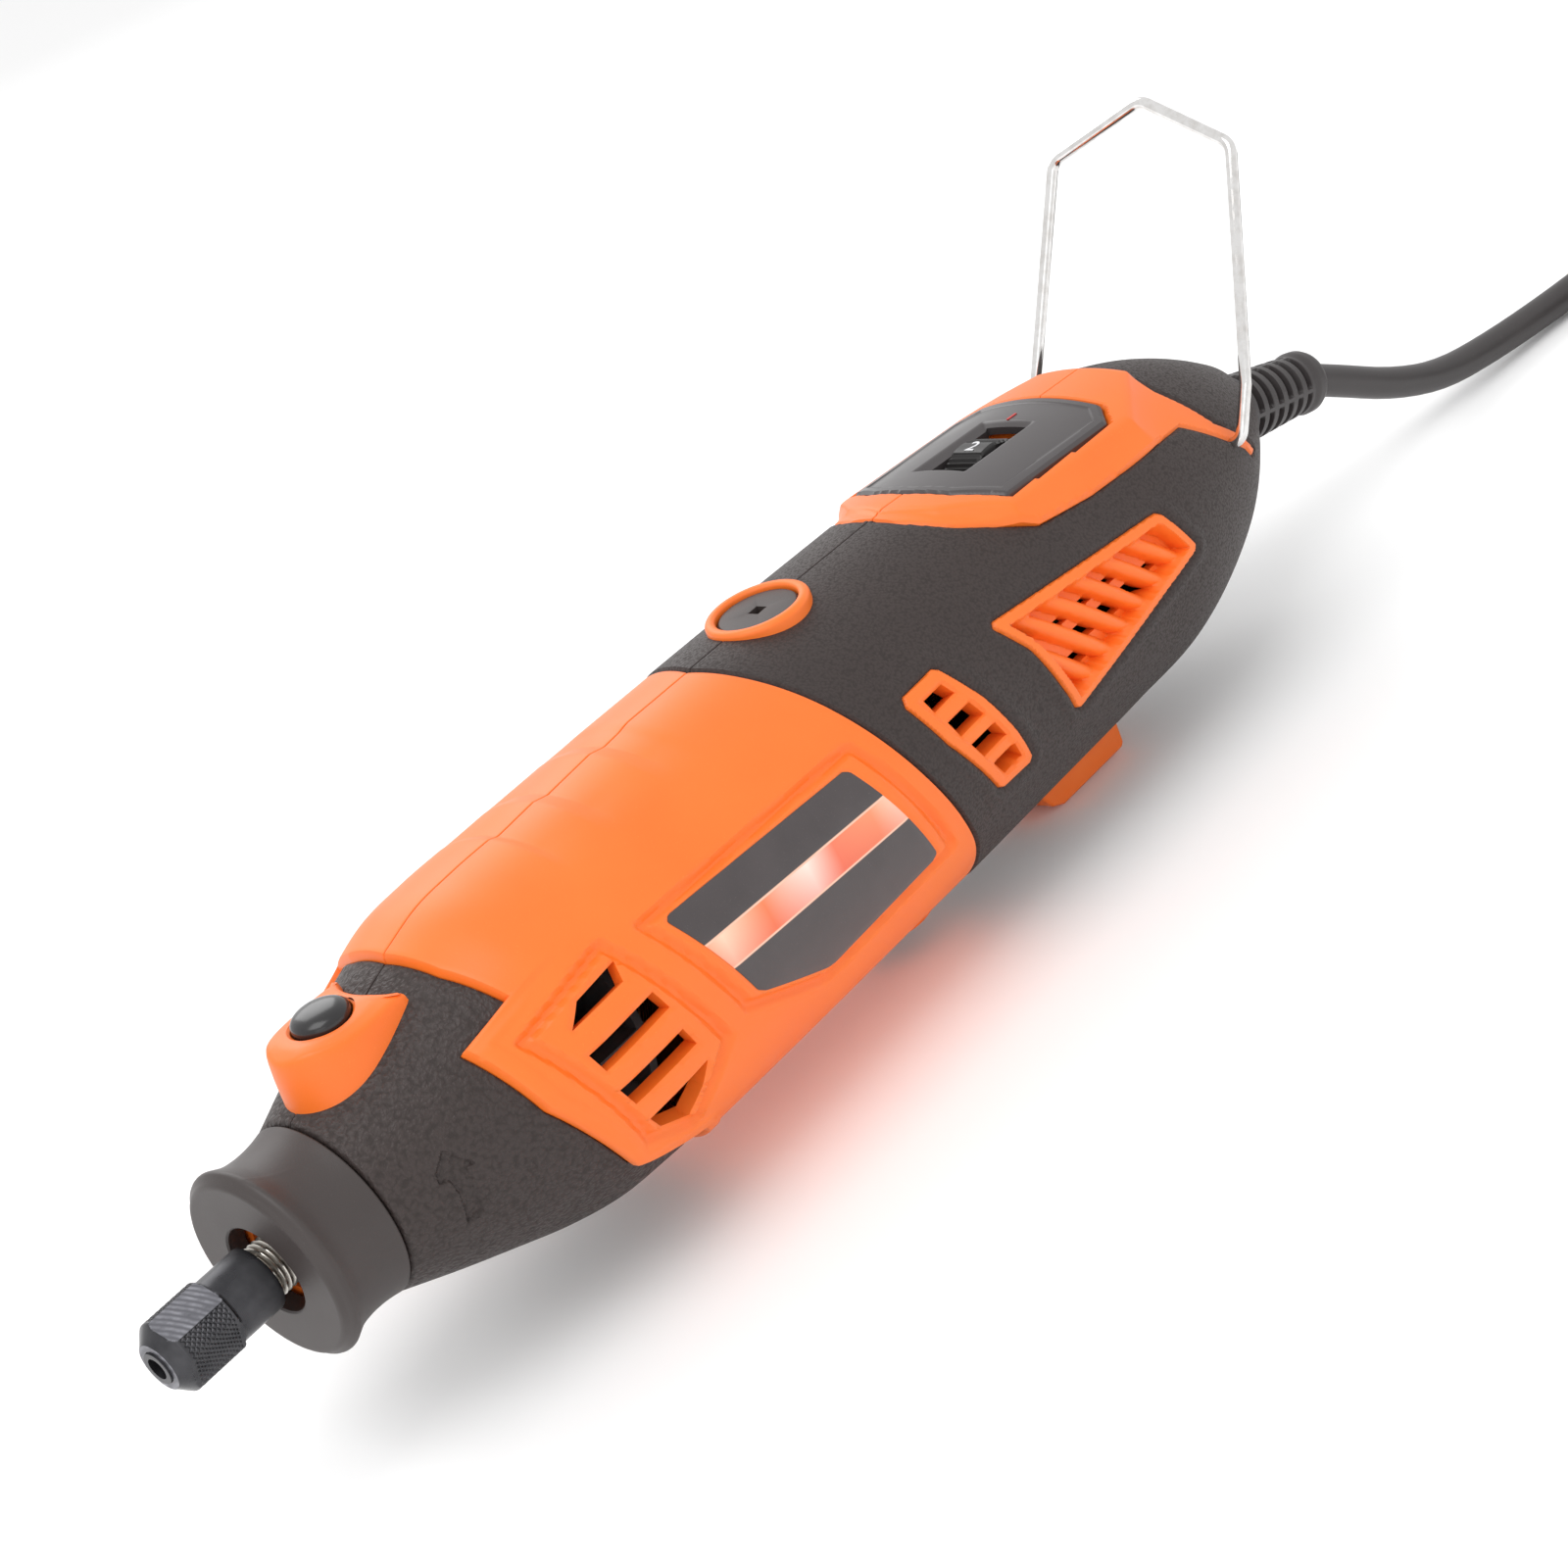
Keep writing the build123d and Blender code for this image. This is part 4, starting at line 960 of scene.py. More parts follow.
def make_small_vent(side, sign):
    """Small vent: an orange plate with a rounded rim and four slots cut right through."""
    x, skin = side_patch(SMALL_VENT, 0.24)

    def gone(px, py):
        z = height_of(px, py)
        cuts = [distance(px, z, outline) for outline in SMALL_SLOTS]
        return np.minimum.reduce([0.25 - distance(px, z, SMALL_VENT)] + cuts)

    x, skin, keep = trim(x, skin, gone, 0.5)
    z = height_of(x, skin)
    inside = -distance(x, z, SMALL_VENT) + 0.25
    opening = np.minimum.reduce([distance(x, z, outline) for outline in SMALL_SLOTS])
    level = rear_skin(x) + 0.12 - rounded(np.maximum(inside, 0), 0.8) - 0.35 * ease((inside - 1.7) / 0.8)
    level -= rounded(np.maximum(opening, 0), 0.3)
    body_wall(f"small_vent_{side}", x, skin / ARC, level, 2.9, keep, sign, orange)


def make_large_vent(side, sign):
    """Large vent: a rounded rim about slanting louvres with half-round tops; small holes go through
    between them.

    Along q = x + 0.93 z the louvres repeat every 6.2 mm."""
    x, skin = side_patch(LARGE_VENT, 0.27)
    slant, pitch, first = 0.93, 6.2, 170.2

    def hole(number, low, high):
        q = first + pitch * number
        return [(q - s * 0.95 - slant * z, z) for s, z in ((1, low), (-1, low), (-1, high), (1, high))]

    holes = [hole(k, -0.6 - 0.5 * k + 1.0, 2.2 - 0.3 * k + 1.0) for k in range(1, 4)]
    holes += [hole(4, 0.8, 2.4)]
    holes += [
        hole(k, 5.2 - 0.3 * k, 6.6 - 0.3 * k) for k in range(1, 4)
    ] + [hole(0, 6.8, 8.6), hole(0, -3.0, -0.4)]

    def gone(px, py):
        z = height_of(px, py)
        return np.minimum.reduce([0.25 - distance(px, z, LARGE_VENT)] + [distance(px, z, h) for h in holes])

    x, skin, keep = trim(x, skin, gone, 0.5)
    z = height_of(x, skin)
    inside = -distance(x, z, LARGE_VENT) + 0.25
    rim = rear_skin(x) + 0.2 - rounded(np.maximum(inside, 0), 0.8)
    phase = ((x + slant * z - first) / pitch) % 1.0
    across = np.clip(np.abs(phase - 0.5) / 0.33, 0, 1)
    louvre = rear_skin(x) - 0.75 - 2.3 * (1.0 - np.sqrt(1.0 - across**2 * 0.999))
    level = rim + (louvre - rim) * ease((inside - 1.75) / 0.5)
    body_wall(f"large_vent_{side}", x, skin / ARC, level, 1.6, keep, sign, orange)


# ---- deck, dial and switch ----
COVER_PLAN = [(172.6, 0.0), (173.6, 8.2), (177.4, 16.0), (203.4, 16.2), (207.8, 12.2)]
DECK_PLAN = [
    (166.2, 0.0), (168.9, 9.0), (175.9, 17.9), (206.5, 18.2), (214.6, 12.6), (219.5, 9.0), (219.5, 0.0)
]


def mirrored(outline):
    """An outline given on +Y only, closed with its mirror image on -Y."""
    return outline + [(x, -y) for x, y in outline[::-1] if y > 0]


def deck_top(x, y):
    """Height of the deck: a crowned arch that falls slightly towards the tail."""
    y = np.clip(y, -40, 40)
    return DECK_Z - (x - DECK_X) * math.tan(DECK_TILT) - (DECK_CROWN - np.sqrt(DECK_CROWN**2 - y * y))


def deck_level(x, y):
    """Deck height with the seat of the cover, and a wall that falls at 52 degrees outside the deck's
    plan."""
    off = distance(x, y, mirrored(DECK_PLAN))
    seat = distance(x, y, mirrored(COVER_PLAN))
    fall = np.maximum(off, 0) * math.tan(math.radians(52)) + 0.5 * ease((off + 1.2) / 2.4)
    return deck_top(x, y) - fall - 1.5 * ease((0.4 - seat) / 0.8)


def make_deck(side, sign):
    """Orange deck around the dial cover, with the strip that runs down past the tail.

    At each x and turn the surface's radius is where z = r cos(turn) meets the deck, found by
    halving, or the skin."""
    turn_line = half_turn(170)
    turn_line = turn_line[turn_line < 98.0]
    x, turn = np.meshgrid(np.linspace(161.0, 236.5, 250), turn_line, indexing="ij")

    def radius_at(px, pt):
        low, high = np.full(px.shape, 2.0), np.full(px.shape, 30.0)
        angle = np.radians(pt)
        for _ in range(26):
            middle = (low + high) / 2
            above = middle * np.cos(angle) > deck_level(px, middle * np.sin(angle))
            low, high = np.where(above, low, middle), np.where(above, middle, high)
        top = (low + high) / 2
        within = ease(-distance(px, top * np.sin(angle), mirrored(DECK_PLAN)) / 0.8)
        strip = rear_skin(px) - 0.1 - 9.0 * within
        blend = np.clip(0.5 + (top - strip) / 2.4, 0, 1)
        joined = strip + (top - strip) * blend + 1.2 * blend * (1 - blend)
        return np.where(px > 221.0, strip, joined)

    def off_zone(px, skin):
        return off_deck(px, skin) - 0.22

    def window(px, skin):
        pt = skin / ARC
        py = radius_at(px, pt) * np.sin(np.radians(pt))
        return distance(px, py, [(181.0, -4.6), (199.4, -4.6), (199.4, 4.6), (181.0, 4.6)])

    def gone(px, skin):
        return np.minimum(-off_zone(px, skin), window(px, skin))

    px, skin, keep = trim(x, turn * ARC, gone, 0.8)
    turn = np.clip(skin / ARC, 0, 100)
    level = radius_at(px, turn)
    inside = -off_zone(px, skin)
    level = level - rounded(np.maximum(inside, 0), 0.6) - parting(level, turn)
    body_wall(f"deck_shell_{side}", px, turn, level, 1.9, keep, sign, orange)


WINDOW = [(181.2, -5.3), (199.2, -5.3), (199.2, 5.3), (181.2, 5.3)]


def make_cover():
    """Dial cover: a thin crowned plate with a stepped border and a window with sloping walls."""
    x, y = patch(mirrored(COVER_PLAN), 0.6, 0.28)
    outline = mirrored(COVER_PLAN)
    small = [(182.6, -4.0), (198.4, -4.0), (198.4, 4.0), (182.6, 4.0)]

    def gone(px, py):
        edge = -distance(px, py, outline) - 0.3
        return np.minimum(edge, distance(px, py, small))

    x, y, keep = trim(x, y, gone, 0.5)
    edge = -distance(x, y, outline) - 0.3
    level = deck_top(x, y) + 0.1 - rounded(np.maximum(edge, 0), 0.45) - 0.22 * ease((edge - 1.7) / 0.25)
    opening = -distance(x, y, WINDOW)
    level -= 1.1 * np.clip(opening / 1.25, 0, 1) + 0.1 * ease((opening + 0.3) / 0.3)
    outer = np.stack([x, y, level], -1)
    inner = outer - [0, 0, 1.25]
    points = np.concatenate([outer.reshape(-1, 3), inner.reshape(-1, 3)])
    cover = make(
        "dial_cover_plate", points, wall_faces(*x.shape, keep), "housing", cover_black
    )
    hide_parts("dial_cover")
    points = []
    for px, py in ((199.3, -0.2), (199.3, 0.2), (201.6, 0.2), (201.6, -0.2)):
        points.append((px, py, float(deck_top(np.array(px), np.array(py))) - 0.1))
    points += [(a, b, c + 0.12) for a, b, c in points]
    quads = [(3, 2, 1, 0), (4, 5, 6, 7), (0, 1, 5, 4), (1, 2, 6, 5), (2, 3, 7, 6), (3, 0, 4, 7)]
    make("dial_pointer", points, quads, "housing", pointer_red)


def make_dial():
    """Speed wheel: 60 ribs across its rim with a smooth band for the numbers 1 to 6."""
    section = [
        (-3.2, 2.0), (-3.2, DIAL_R - 0.5), (-2.9, DIAL_R)
    ] + stretch([(-2.8, DIAL_R), (2.8, DIAL_R)], 0.4)
    section += [(2.9, DIAL_R), (3.2, DIAL_R - 0.5), (3.2, 2.0), (9.0, 2.0), (9.0, 0.4), (-3.2, 0.4)]

    def shape(along, turn, radius):
        near = np.abs((turn + 30.0) % 60.0 - 30.0)
        rib = np.clip(np.abs(((turn / 6.0) % 1.0) - 0.5) * 2.4 - 0.2, 0, 1)
        ribbed = (radius > DIAL_R - 0.2) * ease((near - 9.5) / 1.0)
        return along, radius - 0.55 * (1 - rib) * ribbed

    wheel = turned_piece(
        "speed_wheel", section, 480, "speed_dial", wheel_black, shape, centre=(
            DIAL_X, DIAL_Z
        ), axis="y"
    )
    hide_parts("speed_dial")
    for number in range(1, 7):
        text = bpy.data.curves.new(f"dial_text_{number}", "FONT")
        text.body = str(number)
        text.size, text.extrude, text.resolution_u = 4.0 * MM, 0.22 * MM, 6
        text.align_x, text.align_y = "CENTER", "CENTER"
        holder = bpy.data.objects.new(f"dial_text_{number}", text)
        bpy.context.scene.collection.objects.link(holder)
        bpy.context.view_layer.update()
        flat = bpy.data.meshes.new_from_object(holder)
        bpy.data.objects.remove(holder)
        turn = math.radians((number - 2) * -60.0)
        turned = Matrix.Rotation(turn, 4, "Y") @ Matrix.Translation((0, 0, (DIAL_R - 0.16) * MM))
        place = Matrix.Translation(
            (DIAL_X * MM, 0, DIAL_Z * MM)
        ) @ turned @ Matrix.Rotation(math.radians(-90), 4, "Z")
        flat.transform(place)
        flat.materials.clear()
        flat.materials.append(print_white)
        mark = bpy.data.objects.new(f"dial_number_{number}", flat)
        bpy.context.scene.collection.objects.link(mark)
        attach(mark, "speed_dial")


def prism_piece(name, outline, y0, y1, bevel, body, material):
    """A straight prism with rounded edges: a side-view outline between two y."""
    count = len(outline)
    points = [(a, y0, b) for a, b in outline] + [(a, y1, b) for a, b in outline]
    quads = [(k, (k + 1) % count, (k + 1) % count + count, k + count) for k in range(count)]
    caps = [range(count - 1, -1, -1), range(count, 2 * count)]
    piece = make(name, points, quads, body, material, caps=caps, sharp=20)
    edge = piece.modifiers.new("rounded edges", "BEVEL")
    edge.width, edge.segments, edge.limit_method, edge.angle_limit = bevel * MM, 3, "ANGLE", math.radians(
        20
    )
    return piece


def make_switch():
    """Orange slide knob under the body."""
    knob = [
        (168.7, -25.2), (172.3, -30.6), (174.9, FLOOR_Z + 0.05), (191.6, FLOOR_Z + 0.05), (192.3, -31.0)
    ]
    knob += [(192.3, -25.2)]
    piece = prism_piece("power_switch_knob", knob, -6.9, 6.9, 0.5, "power_switch", orange)
    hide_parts("power_switch")


# ---- brush caps and lock ----
def make_brush(end, up):
    """Brush opening above or below: a rounded orange ring proud of the grip, and a flat cap with a
    square hole."""
    body = f"brush_cap_{end}"
    top = BRUSH_TOP
    section = [(21.0, 6.5), (21.0, BRUSH_RING_R)] + [(top - 1.2, BRUSH_RING_R)]
    section += arc(top - 0.85, BRUSH_RING_R - 0.85, 0.85, 90, 0, 8) + arc(top - 0.6, 7.1, 0.6, 0, -90, 5)
    section += [(top - 1.0, 6.5)]
    ring = turned_piece(
        f"brush_ring_{end}", stretch(
            section, 0.8
        ), 160, "housing", orange, centre=(BRUSH_X, 0), axis="z"
    )
    square = 48

    def shape(along, turn, radius):
        """The hole's radius at each turn is a square's: half the side over the larger of |cos| and
        |sin|."""
        angle = np.radians(turn)
        side = 1.05 / np.maximum(np.abs(np.cos(angle)), np.abs(np.sin(angle)))
        return along, np.where(radius < 1.5, side, radius)

    section = [
        (24.4, 1.05), (24.4, 6.3), (26.85, 6.3), (27.15, 6.0), (27.2, 5.6), (27.2, 1.6), (27.15, 1.05)
    ]
    section += [(25.6, 1.05)]
    cap = turned_piece(
        f"brush_cap_{end}_body", section, 4 * square, body, nose_black, shape, (
            BRUSH_X, 0
        ), "z"
    )
    base = [(24.42, 0.2), (24.42, 2.4), (25.4, 2.4), (25.4, 0.2)]
    floor = turned_piece(
        f"brush_cap_{end}_floor", base, 24, body, brass, centre=(BRUSH_X, 0), axis="z"
    )
    if up < 0:
        for piece in (ring, cap, floor):
            piece.data.transform(Matrix.Scale(-1, 4, (0, 0, 1)))
            piece.data.flip_normals()
    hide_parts(f"brush_cap_{end}")


def make_lock():
    """Teardrop around the spindle lock button: rings that go from the outline on top to a round hole."""
    corners = [
        (51.2, 7.0), (48.9, 3.6), (48.5, 1.0), (48.5, -1.0), (48.9, -3.6), (51.2, -7.0), (46.5, -7.35)
    ]
    corners += [
        (41.0, -7.3), (37.0, -5.6), (34.6, -3.0), (33.7, 0.0), (34.6, 3.0), (37.0, 5.6), (41.0, 7.3),
        (46.5, 7.35),
    ]
    outline = []
    points = np.array(corners)
    sharp_at = (0, 5)
    for k in range(len(points)):
        before, here = points[k - 1], points[k]
        outline += [before + (here - before) * t for t in np.linspace(0, 1, 14, endpoint=False)]
    outline = np.array(outline)
    for _ in range(30):
        away = np.hypot(*(outline[:, None] - points[list(sharp_at)]).transpose(2, 0, 1)).min(1)
        smooth = (np.roll(outline, 1, 0) + np.roll(outline, -1, 0)) / 2
        outline += (smooth - outline) * ease((away - 0.3) / 0.8)[:, None]
    count = len(outline)
    centre = np.array([LOCK_X, 0.0])
    angle = np.unwrap(np.arctan2(outline[:, 1], outline[:, 0] - LOCK_X))
    hole = centre + 4.45 * np.stack([np.cos(angle), np.sin(angle)], -1)
    normal = np.roll(outline, -1, 0) - np.roll(outline, 1, 0)
    normal = np.stack([normal[:, 1], -normal[:, 0]], -1) / np.hypot(*normal.T)[:, None]
    if (normal * (outline - centre)).sum() < 0:
        normal = -normal
    rings = []

    def top(plan):
        """The top is a flat saddle: it falls to the front and to each side, and its rear spikes come
        down to the grip."""
        x, y = plan.T
        fall = 0.020 * np.maximum(y * y - 10, 0) + 0.9 * ease((36.8 - x) / 4.0) + 0.25 * ease(
            (x - 47.5) / 4.0
        )
        return 22.75 - fall

    steps = [
        (0.9, -9.0), (0.55, -4.0), (0.25, -1.6), (0.08, -0.75), (-0.08, -0.36), (-0.36, -0.1), (-0.7, 0.0)
    ]
    for grow, drop in steps:
        plan = outline + normal * grow
        rings.append(np.column_stack([plan, top(outline) + drop]))
    inner_edge = outline - normal * 0.7
    for share in (0.3, 0.6, 0.85):
        plan = inner_edge + (hole - inner_edge) * share
        rings.append(np.column_stack([plan, top(plan)]))
    rim = centre + (hole - centre) * (4.85 / 4.45)
    rings.append(np.column_stack([rim, top(rim)]))
    rings.append(np.column_stack([hole, top(hole) - 0.3]))
    rings.append(np.column_stack([hole, np.full(count, 14.0)]))
    wide = outline + normal * 0.7
    inner_low = centre + (wide - centre) * 0.8
    rings.append(np.column_stack([inner_low, np.full(count, 12.2)]))
    faces = ring_faces(len(rings), count, closed_rows=True)
    make("lock_surround", np.array(rings), faces, "housing", orange)
    dome = [
        (22.9 + 1.68 * math.cos(t), 4.2 * math.sin(t) ** 0.8) for t in np.radians(np.linspace(84, 4, 16))
    ]
    section = [
        (16.25, 0.4), (16.25, 2.35), (20.3, 2.35), (20.3, 3.75), (16.25, 3.75), (16.25, 4.2), (22.6, 4.22)
    ] + dome + [(24.58, 0.12)]
    button = turned_piece(
        "lock_button_dome", section, 96, "lock_button", button_black, centre=(
            LOCK_X, 0
        ), axis="z", loop=False
    )
    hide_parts("lock_button")


# ---- swept pieces ----
def along_line(points):
    """Directions along a run of 3-D points."""
    direction = np.gradient(points, axis=0)
    return direction / np.linalg.norm(direction, axis=1)[:, None]


def tube_piece(name, points, radius, columns, body, material):
    """A closed tube along points, with flat ends; its frame is carried along without twist."""
    points = np.array(points, float)
    radius = np.broadcast_to(radius, len(points))
    direction = along_line(points)
    across = np.cross(direction[0], (0.0, 0.0, 1.0))
    if np.linalg.norm(across) < 0.1:
        across = np.cross(direction[0], (0.0, 1.0, 0.0))
    angle = np.linspace(0, 2 * np.pi, columns, endpoint=False)
    rings = []
    for place, way, r in zip(points, direction, radius):
        across = across - way * np.dot(across, way)
        across /= np.linalg.norm(across)
        other = np.cross(way, across)
        rings.append(place + r * (np.cos(angle)[:, None] * across + np.sin(angle)[:, None] * other))
    last = (len(points) - 1) * columns
    caps = [range(columns - 1, -1, -1), range(last, last + columns)]
    return make(
        name, np.array(rings), ring_faces(len(points), columns), body, material, caps=caps, sharp=40
    )


def bent_wire(corners, radii, step):
    """Straight runs joined by arcs: at each corner the arc touches both runs radius x tan(turn / 2)
    from it."""
    corners = np.array(corners, float)
    points = [corners[0]]
    for k, radius in enumerate(radii, start=1):
        a, b, c = corners[k - 1 : k + 2]
        into, out = (b - a) / np.linalg.norm(b - a), (c - b) / np.linalg.norm(c - b)
        turn = math.acos(float(np.clip(np.dot(into, out), -1, 1)))
        reach = radius * math.tan(turn / 2)
        inward = out - into * np.dot(into, out)
        inward /= np.linalg.norm(inward)
        start = b - into * reach
        middle = start + inward * radius
        for t in np.linspace(0, turn, 12):
            points.append(middle - inward * radius * math.cos(t) + into * radius * math.sin(t))
    points.append(corners[-1])
    run = [points[0]]
    for a, b in zip(points, points[1:]):
        count = max(1, int(np.linalg.norm(b - a) / step))
        run += [a + (b - a) * n / count for n in range(1, count + 1)]
    return np.array(run)


def make_bail():
    """Hanger wire: two feet turned into the tail, straight legs, shoulders and a blunt peak, in one
    tilted plane."""
    half = [(15.7, 0.0), (21.2, 0.0), (21.9, 9.4), (18.3, 47.6), (0.0, 56.0)]
    flat = half + [(-a, b) for a, b in half[-2::-1]]
    corners = [(226.0 + 0.5 * b, a, 5.0 + 0.866 * b) for a, b in flat]
    run = bent_wire(corners, [2.2, 3.0, 3.0, 3.5, 3.0, 3.0, 2.2], 1.2)
    wire = tube_piece("bail_wire", run, 0.99, 28, "bail", chrome_plate)
    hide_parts("bail")


RELIEF_TURN = math.radians(14.0)
RELIEF_WAY = np.array([math.cos(RELIEF_TURN), 0.0, -math.sin(RELIEF_TURN)])
RELIEF_UP = np.array([math.sin(RELIEF_TURN), 0.0, math.cos(RELIEF_TURN)])


def make_relief():
    """Ribbed strain relief: a cone with rows of slots between four bars along it, and a round head.

    The slots repeat along the axis, and fade out at the bars, where the cosine of twice the turn is
    near 0."""
    along = [(0.0, 3.2), (0.0, 6.6), (2.0, 6.85), (4.2, 6.8)]
    along = stretch(along, 0.8)
    fine = np.arange(4.4, 29.8, 0.14)
    body = [(s, 6.8 - (s - 3.0) * 1.8 / 31.0) for s in fine]
    head = [
        (30.2, 5.45), (30.9, 5.65), (32.4, 5.6), (33.4, 5.2), (33.9, 4.6), (34.0, 3.9), (33.9, 3.1),
        (31.0, 2.95),
    ]
    section = np.array(along + body + stretch(head, 0.5))
    columns = 120
    turn = np.linspace(0, 2 * np.pi, columns, endpoint=False)
    s, angle = np.meshgrid(section[:, 0], turn, indexing="ij")
    radius = np.repeat(section[:, 1:2], columns, 1)
    pitch = 3.15
    number = np.floor((s - 5.0) / pitch)
    part = (s - 5.0) / pitch - number
    slot = ease(part / 0.12) * ease((0.56 - part) / 0.12)
    open_here = ease((np.abs(np.cos(2 * angle)) - 0.12) / 0.25)
    on_body_part = (s > 5.0) & (s < 29.6) & (radius > 4.0)
    radius = radius - np.where(on_body_part, slot * open_here * (radius - 3.9), 0.0)
    start = np.array([240.0, 0.0, 0.2])
    side = np.array([0.0, 1.0, 0.0])
    twist = math.radians(38.0)
    rings = start + s[..., None] * RELIEF_WAY + radius[..., None] * (
        np.cos(angle + twist)[..., None] * RELIEF_UP + np.sin(angle + twist)[..., None] * side
    )
    faces = ring_faces(len(section), columns)
    last = (len(section) - 1) * columns
    caps = [range(columns - 1, -1, -1), range(last, last + columns)]
    relief = make("strain_relief_body", rings, faces, "housing", cord_black, caps=caps)
    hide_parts("strain_relief")


# ---- mains cord, plug and tie ----
CORD_EXIT = (272.99, 0.0, -8.03)
LEAD_Z = FLOOR_Z + CORD_D / 2
LOW_Z, HIGH_Z = LEAD_Z + 0.8, LEAD_Z + 0.8 + CORD_D
COIL_C = (436.5, -16.2)
COIL_RINGS = (22.4, 28.2, 34.0, 39.8)
LEAD_ROUTE = [
    CORD_EXIT, (280.6, -0.6, -12.2), (293.6, -1.8, -20.0), (307.3, -3.0, -25.6), (322.4, -4.5, -27.8)
]
LEAD_ROUTE += [(340.3, -7.0, LEAD_Z), (358.0, -10.0, LEAD_Z), (375.0, -7.5, LEAD_Z), (390.0, 0.8, LEAD_Z)]
LEAD_ROUTE += [(406.5, 13.2, LEAD_Z + 0.4), (424.0, 21.6, LOW_Z)]
TAIL_ROUTE = [(430.5, -55.8, HIGH_Z), (418.0, -52.3, LEAD_Z + 5.0), (407.0, -45.6, LEAD_Z + 4.0)]
TAIL_ROUTE += [(397.5, -41.6, FLOOR_Z + 6.85), (384.0, -41.6, FLOOR_Z + 6.85)]


def coil_radius(t):
    """Radius of the coil after t turns: outermost ring first, inwards below, then outwards above."""
    stops = [
        (0, 3), (0.85, 3), (1, 2), (1.85, 2), (2, 1), (2.85, 1), (3, 0), (4.5, 0), (4.65, 1), (5.5, 1),
        (5.65, 2),
    ]
    stops += [(6.5, 2), (6.65, 3), (8, 3)]
    at, ring = np.array(stops, float).T
    return float(np.interp(np.interp(t, at, ring), range(4), COIL_RINGS))


def make_cord():
    """Mains cord: one smooth curve through the lead, the coil's turns and the short end at the plug."""
    points = list(LEAD_ROUTE)
    steps = 24
    for k in range(1, int(7.5 * steps)):
        t = k / steps
        angle = math.radians(90.0 - 360.0 * t)
        radius = coil_radius(t) / math.cos(math.pi / steps) ** 0.5
        z = LOW_Z + (HIGH_Z - LOW_Z) * float(ease((t - 3.62) / 0.26))
        points.append((COIL_C[0] + radius * math.cos(angle), COIL_C[1] + radius * math.sin(angle), z))
    points += TAIL_ROUTE
    curve = bpy.data.curves.new("mains_cord_line", "CURVE")
    curve.dimensions = "3D"
    curve.bevel_depth, curve.bevel_resolution, curve.use_fill_caps = CORD_D / 2 * MM, 8, True
    spline = curve.splines.new("NURBS")
    spline.points.add(len(points) - 1)
    for place, point in zip(spline.points, points):
        place.co = (*(c * MM for c in point), 1.0)
    spline.use_endpoint_u = True
    spline.order_u = 3
    spline.resolution_u = 4
    curve.materials.append(cord_black)
    cord = bpy.data.objects.new("mains_cord_lead", curve)
    bpy.context.scene.collection.objects.link(cord)
    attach(cord, "housing")
    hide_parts("mains_cord", "cord_coil", "cord_tail")
    return cord


def make_plug():
    """Two-pin plug: a flat moulded body that narrows to a round ribbed neck, and its two pins."""
    end_x, middle_y, z = TAIL_ROUTE[-1]
    columns = 96
    stops = [(0.0, 3.6, 3.6, 2.0), (1.0, 3.75, 3.75, 2.0), (12.0, 5.3, 5.2, 2.0), (14.5, 6.6, 5.6, 2.2)]
    stops += [
        (18.0, 11.0, 6.3, 3.2), (21.5, 15.6, 6.75, 4.5), (25.0, 16.6, 6.8, 5.0), (34.0, 17.1, 6.8, 5.5)
    ]
    stops += [(35.2, 17.0, 6.7, 5.5), (35.8, 16.6, 6.3, 5.5), (36.0, 15.9, 5.7, 5.5)]
    at, wide, thick, square = np.array(stops).T
    s = np.unique(np.concatenate([np.linspace(0, 35, 120), np.linspace(35, 36, 10)]))
    angle = np.linspace(0, 2 * np.pi, columns, endpoint=False)
    rings = []
    for here in s:
        a, b, p = (float(np.interp(here, at, line)) for line in (wide, thick, square))
        ribs = 0.45 * float(
            ease((here - 1.2) / 0.4) * ease((11.6 - here) / 0.4)
        ) * (math.sin(here * 2.6) > 0.2)
        c, d = np.cos(angle), np.sin(angle)
        size = (np.abs(c) ** p + np.abs(d) ** p) ** (-1 / p)
        ring_y = middle_y + (a - ribs) * c * size
        ring_z = z + (b - ribs) * d * size
        rings.append(np.column_stack([np.full(columns, end_x - here), ring_y, ring_z]))
    last = (len(s) - 1) * columns
    caps = [range(columns - 1, -1, -1), range(last, last + columns)]
    plug = make(
        "plug_body", np.array(rings), ring_faces(len(s), columns), "housing", plug_black,
        caps=caps,
    )
    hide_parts("plug")
    pieces = [plug]
    for side, offset in (("left", -9.5), ("right", 9.5)):
        section = [(end_x - 35.5, 0.2), (end_x - 35.5, 1.99), (end_x - 46.0, 1.99), (end_x - 46.05, 1.9)]
        section += [(end_x - 54.0, 1.9), (end_x - 54.7, 1.5), (end_x - 54.95, 0.8), (end_x - 55.0, 0.1)]
        pin = turned_piece(
            f"plug_pin_{side}", section, 40, "housing", bright_steel, centre=(
                middle_y + offset, z
            ), loop=False
        )
        sleeve = [(end_x - 35.6, 1.6), (end_x - 35.6, 2.0), (end_x - 45.9, 2.0), (end_x - 45.9, 1.6)]
        cover = turned_piece(
            f"plug_pin_sleeve_{side}", sleeve, 40, "housing", button_black, centre=(
                middle_y + offset, z
            )
        )
        pieces += [pin, cover]
    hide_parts("plug_pins")
    return pieces


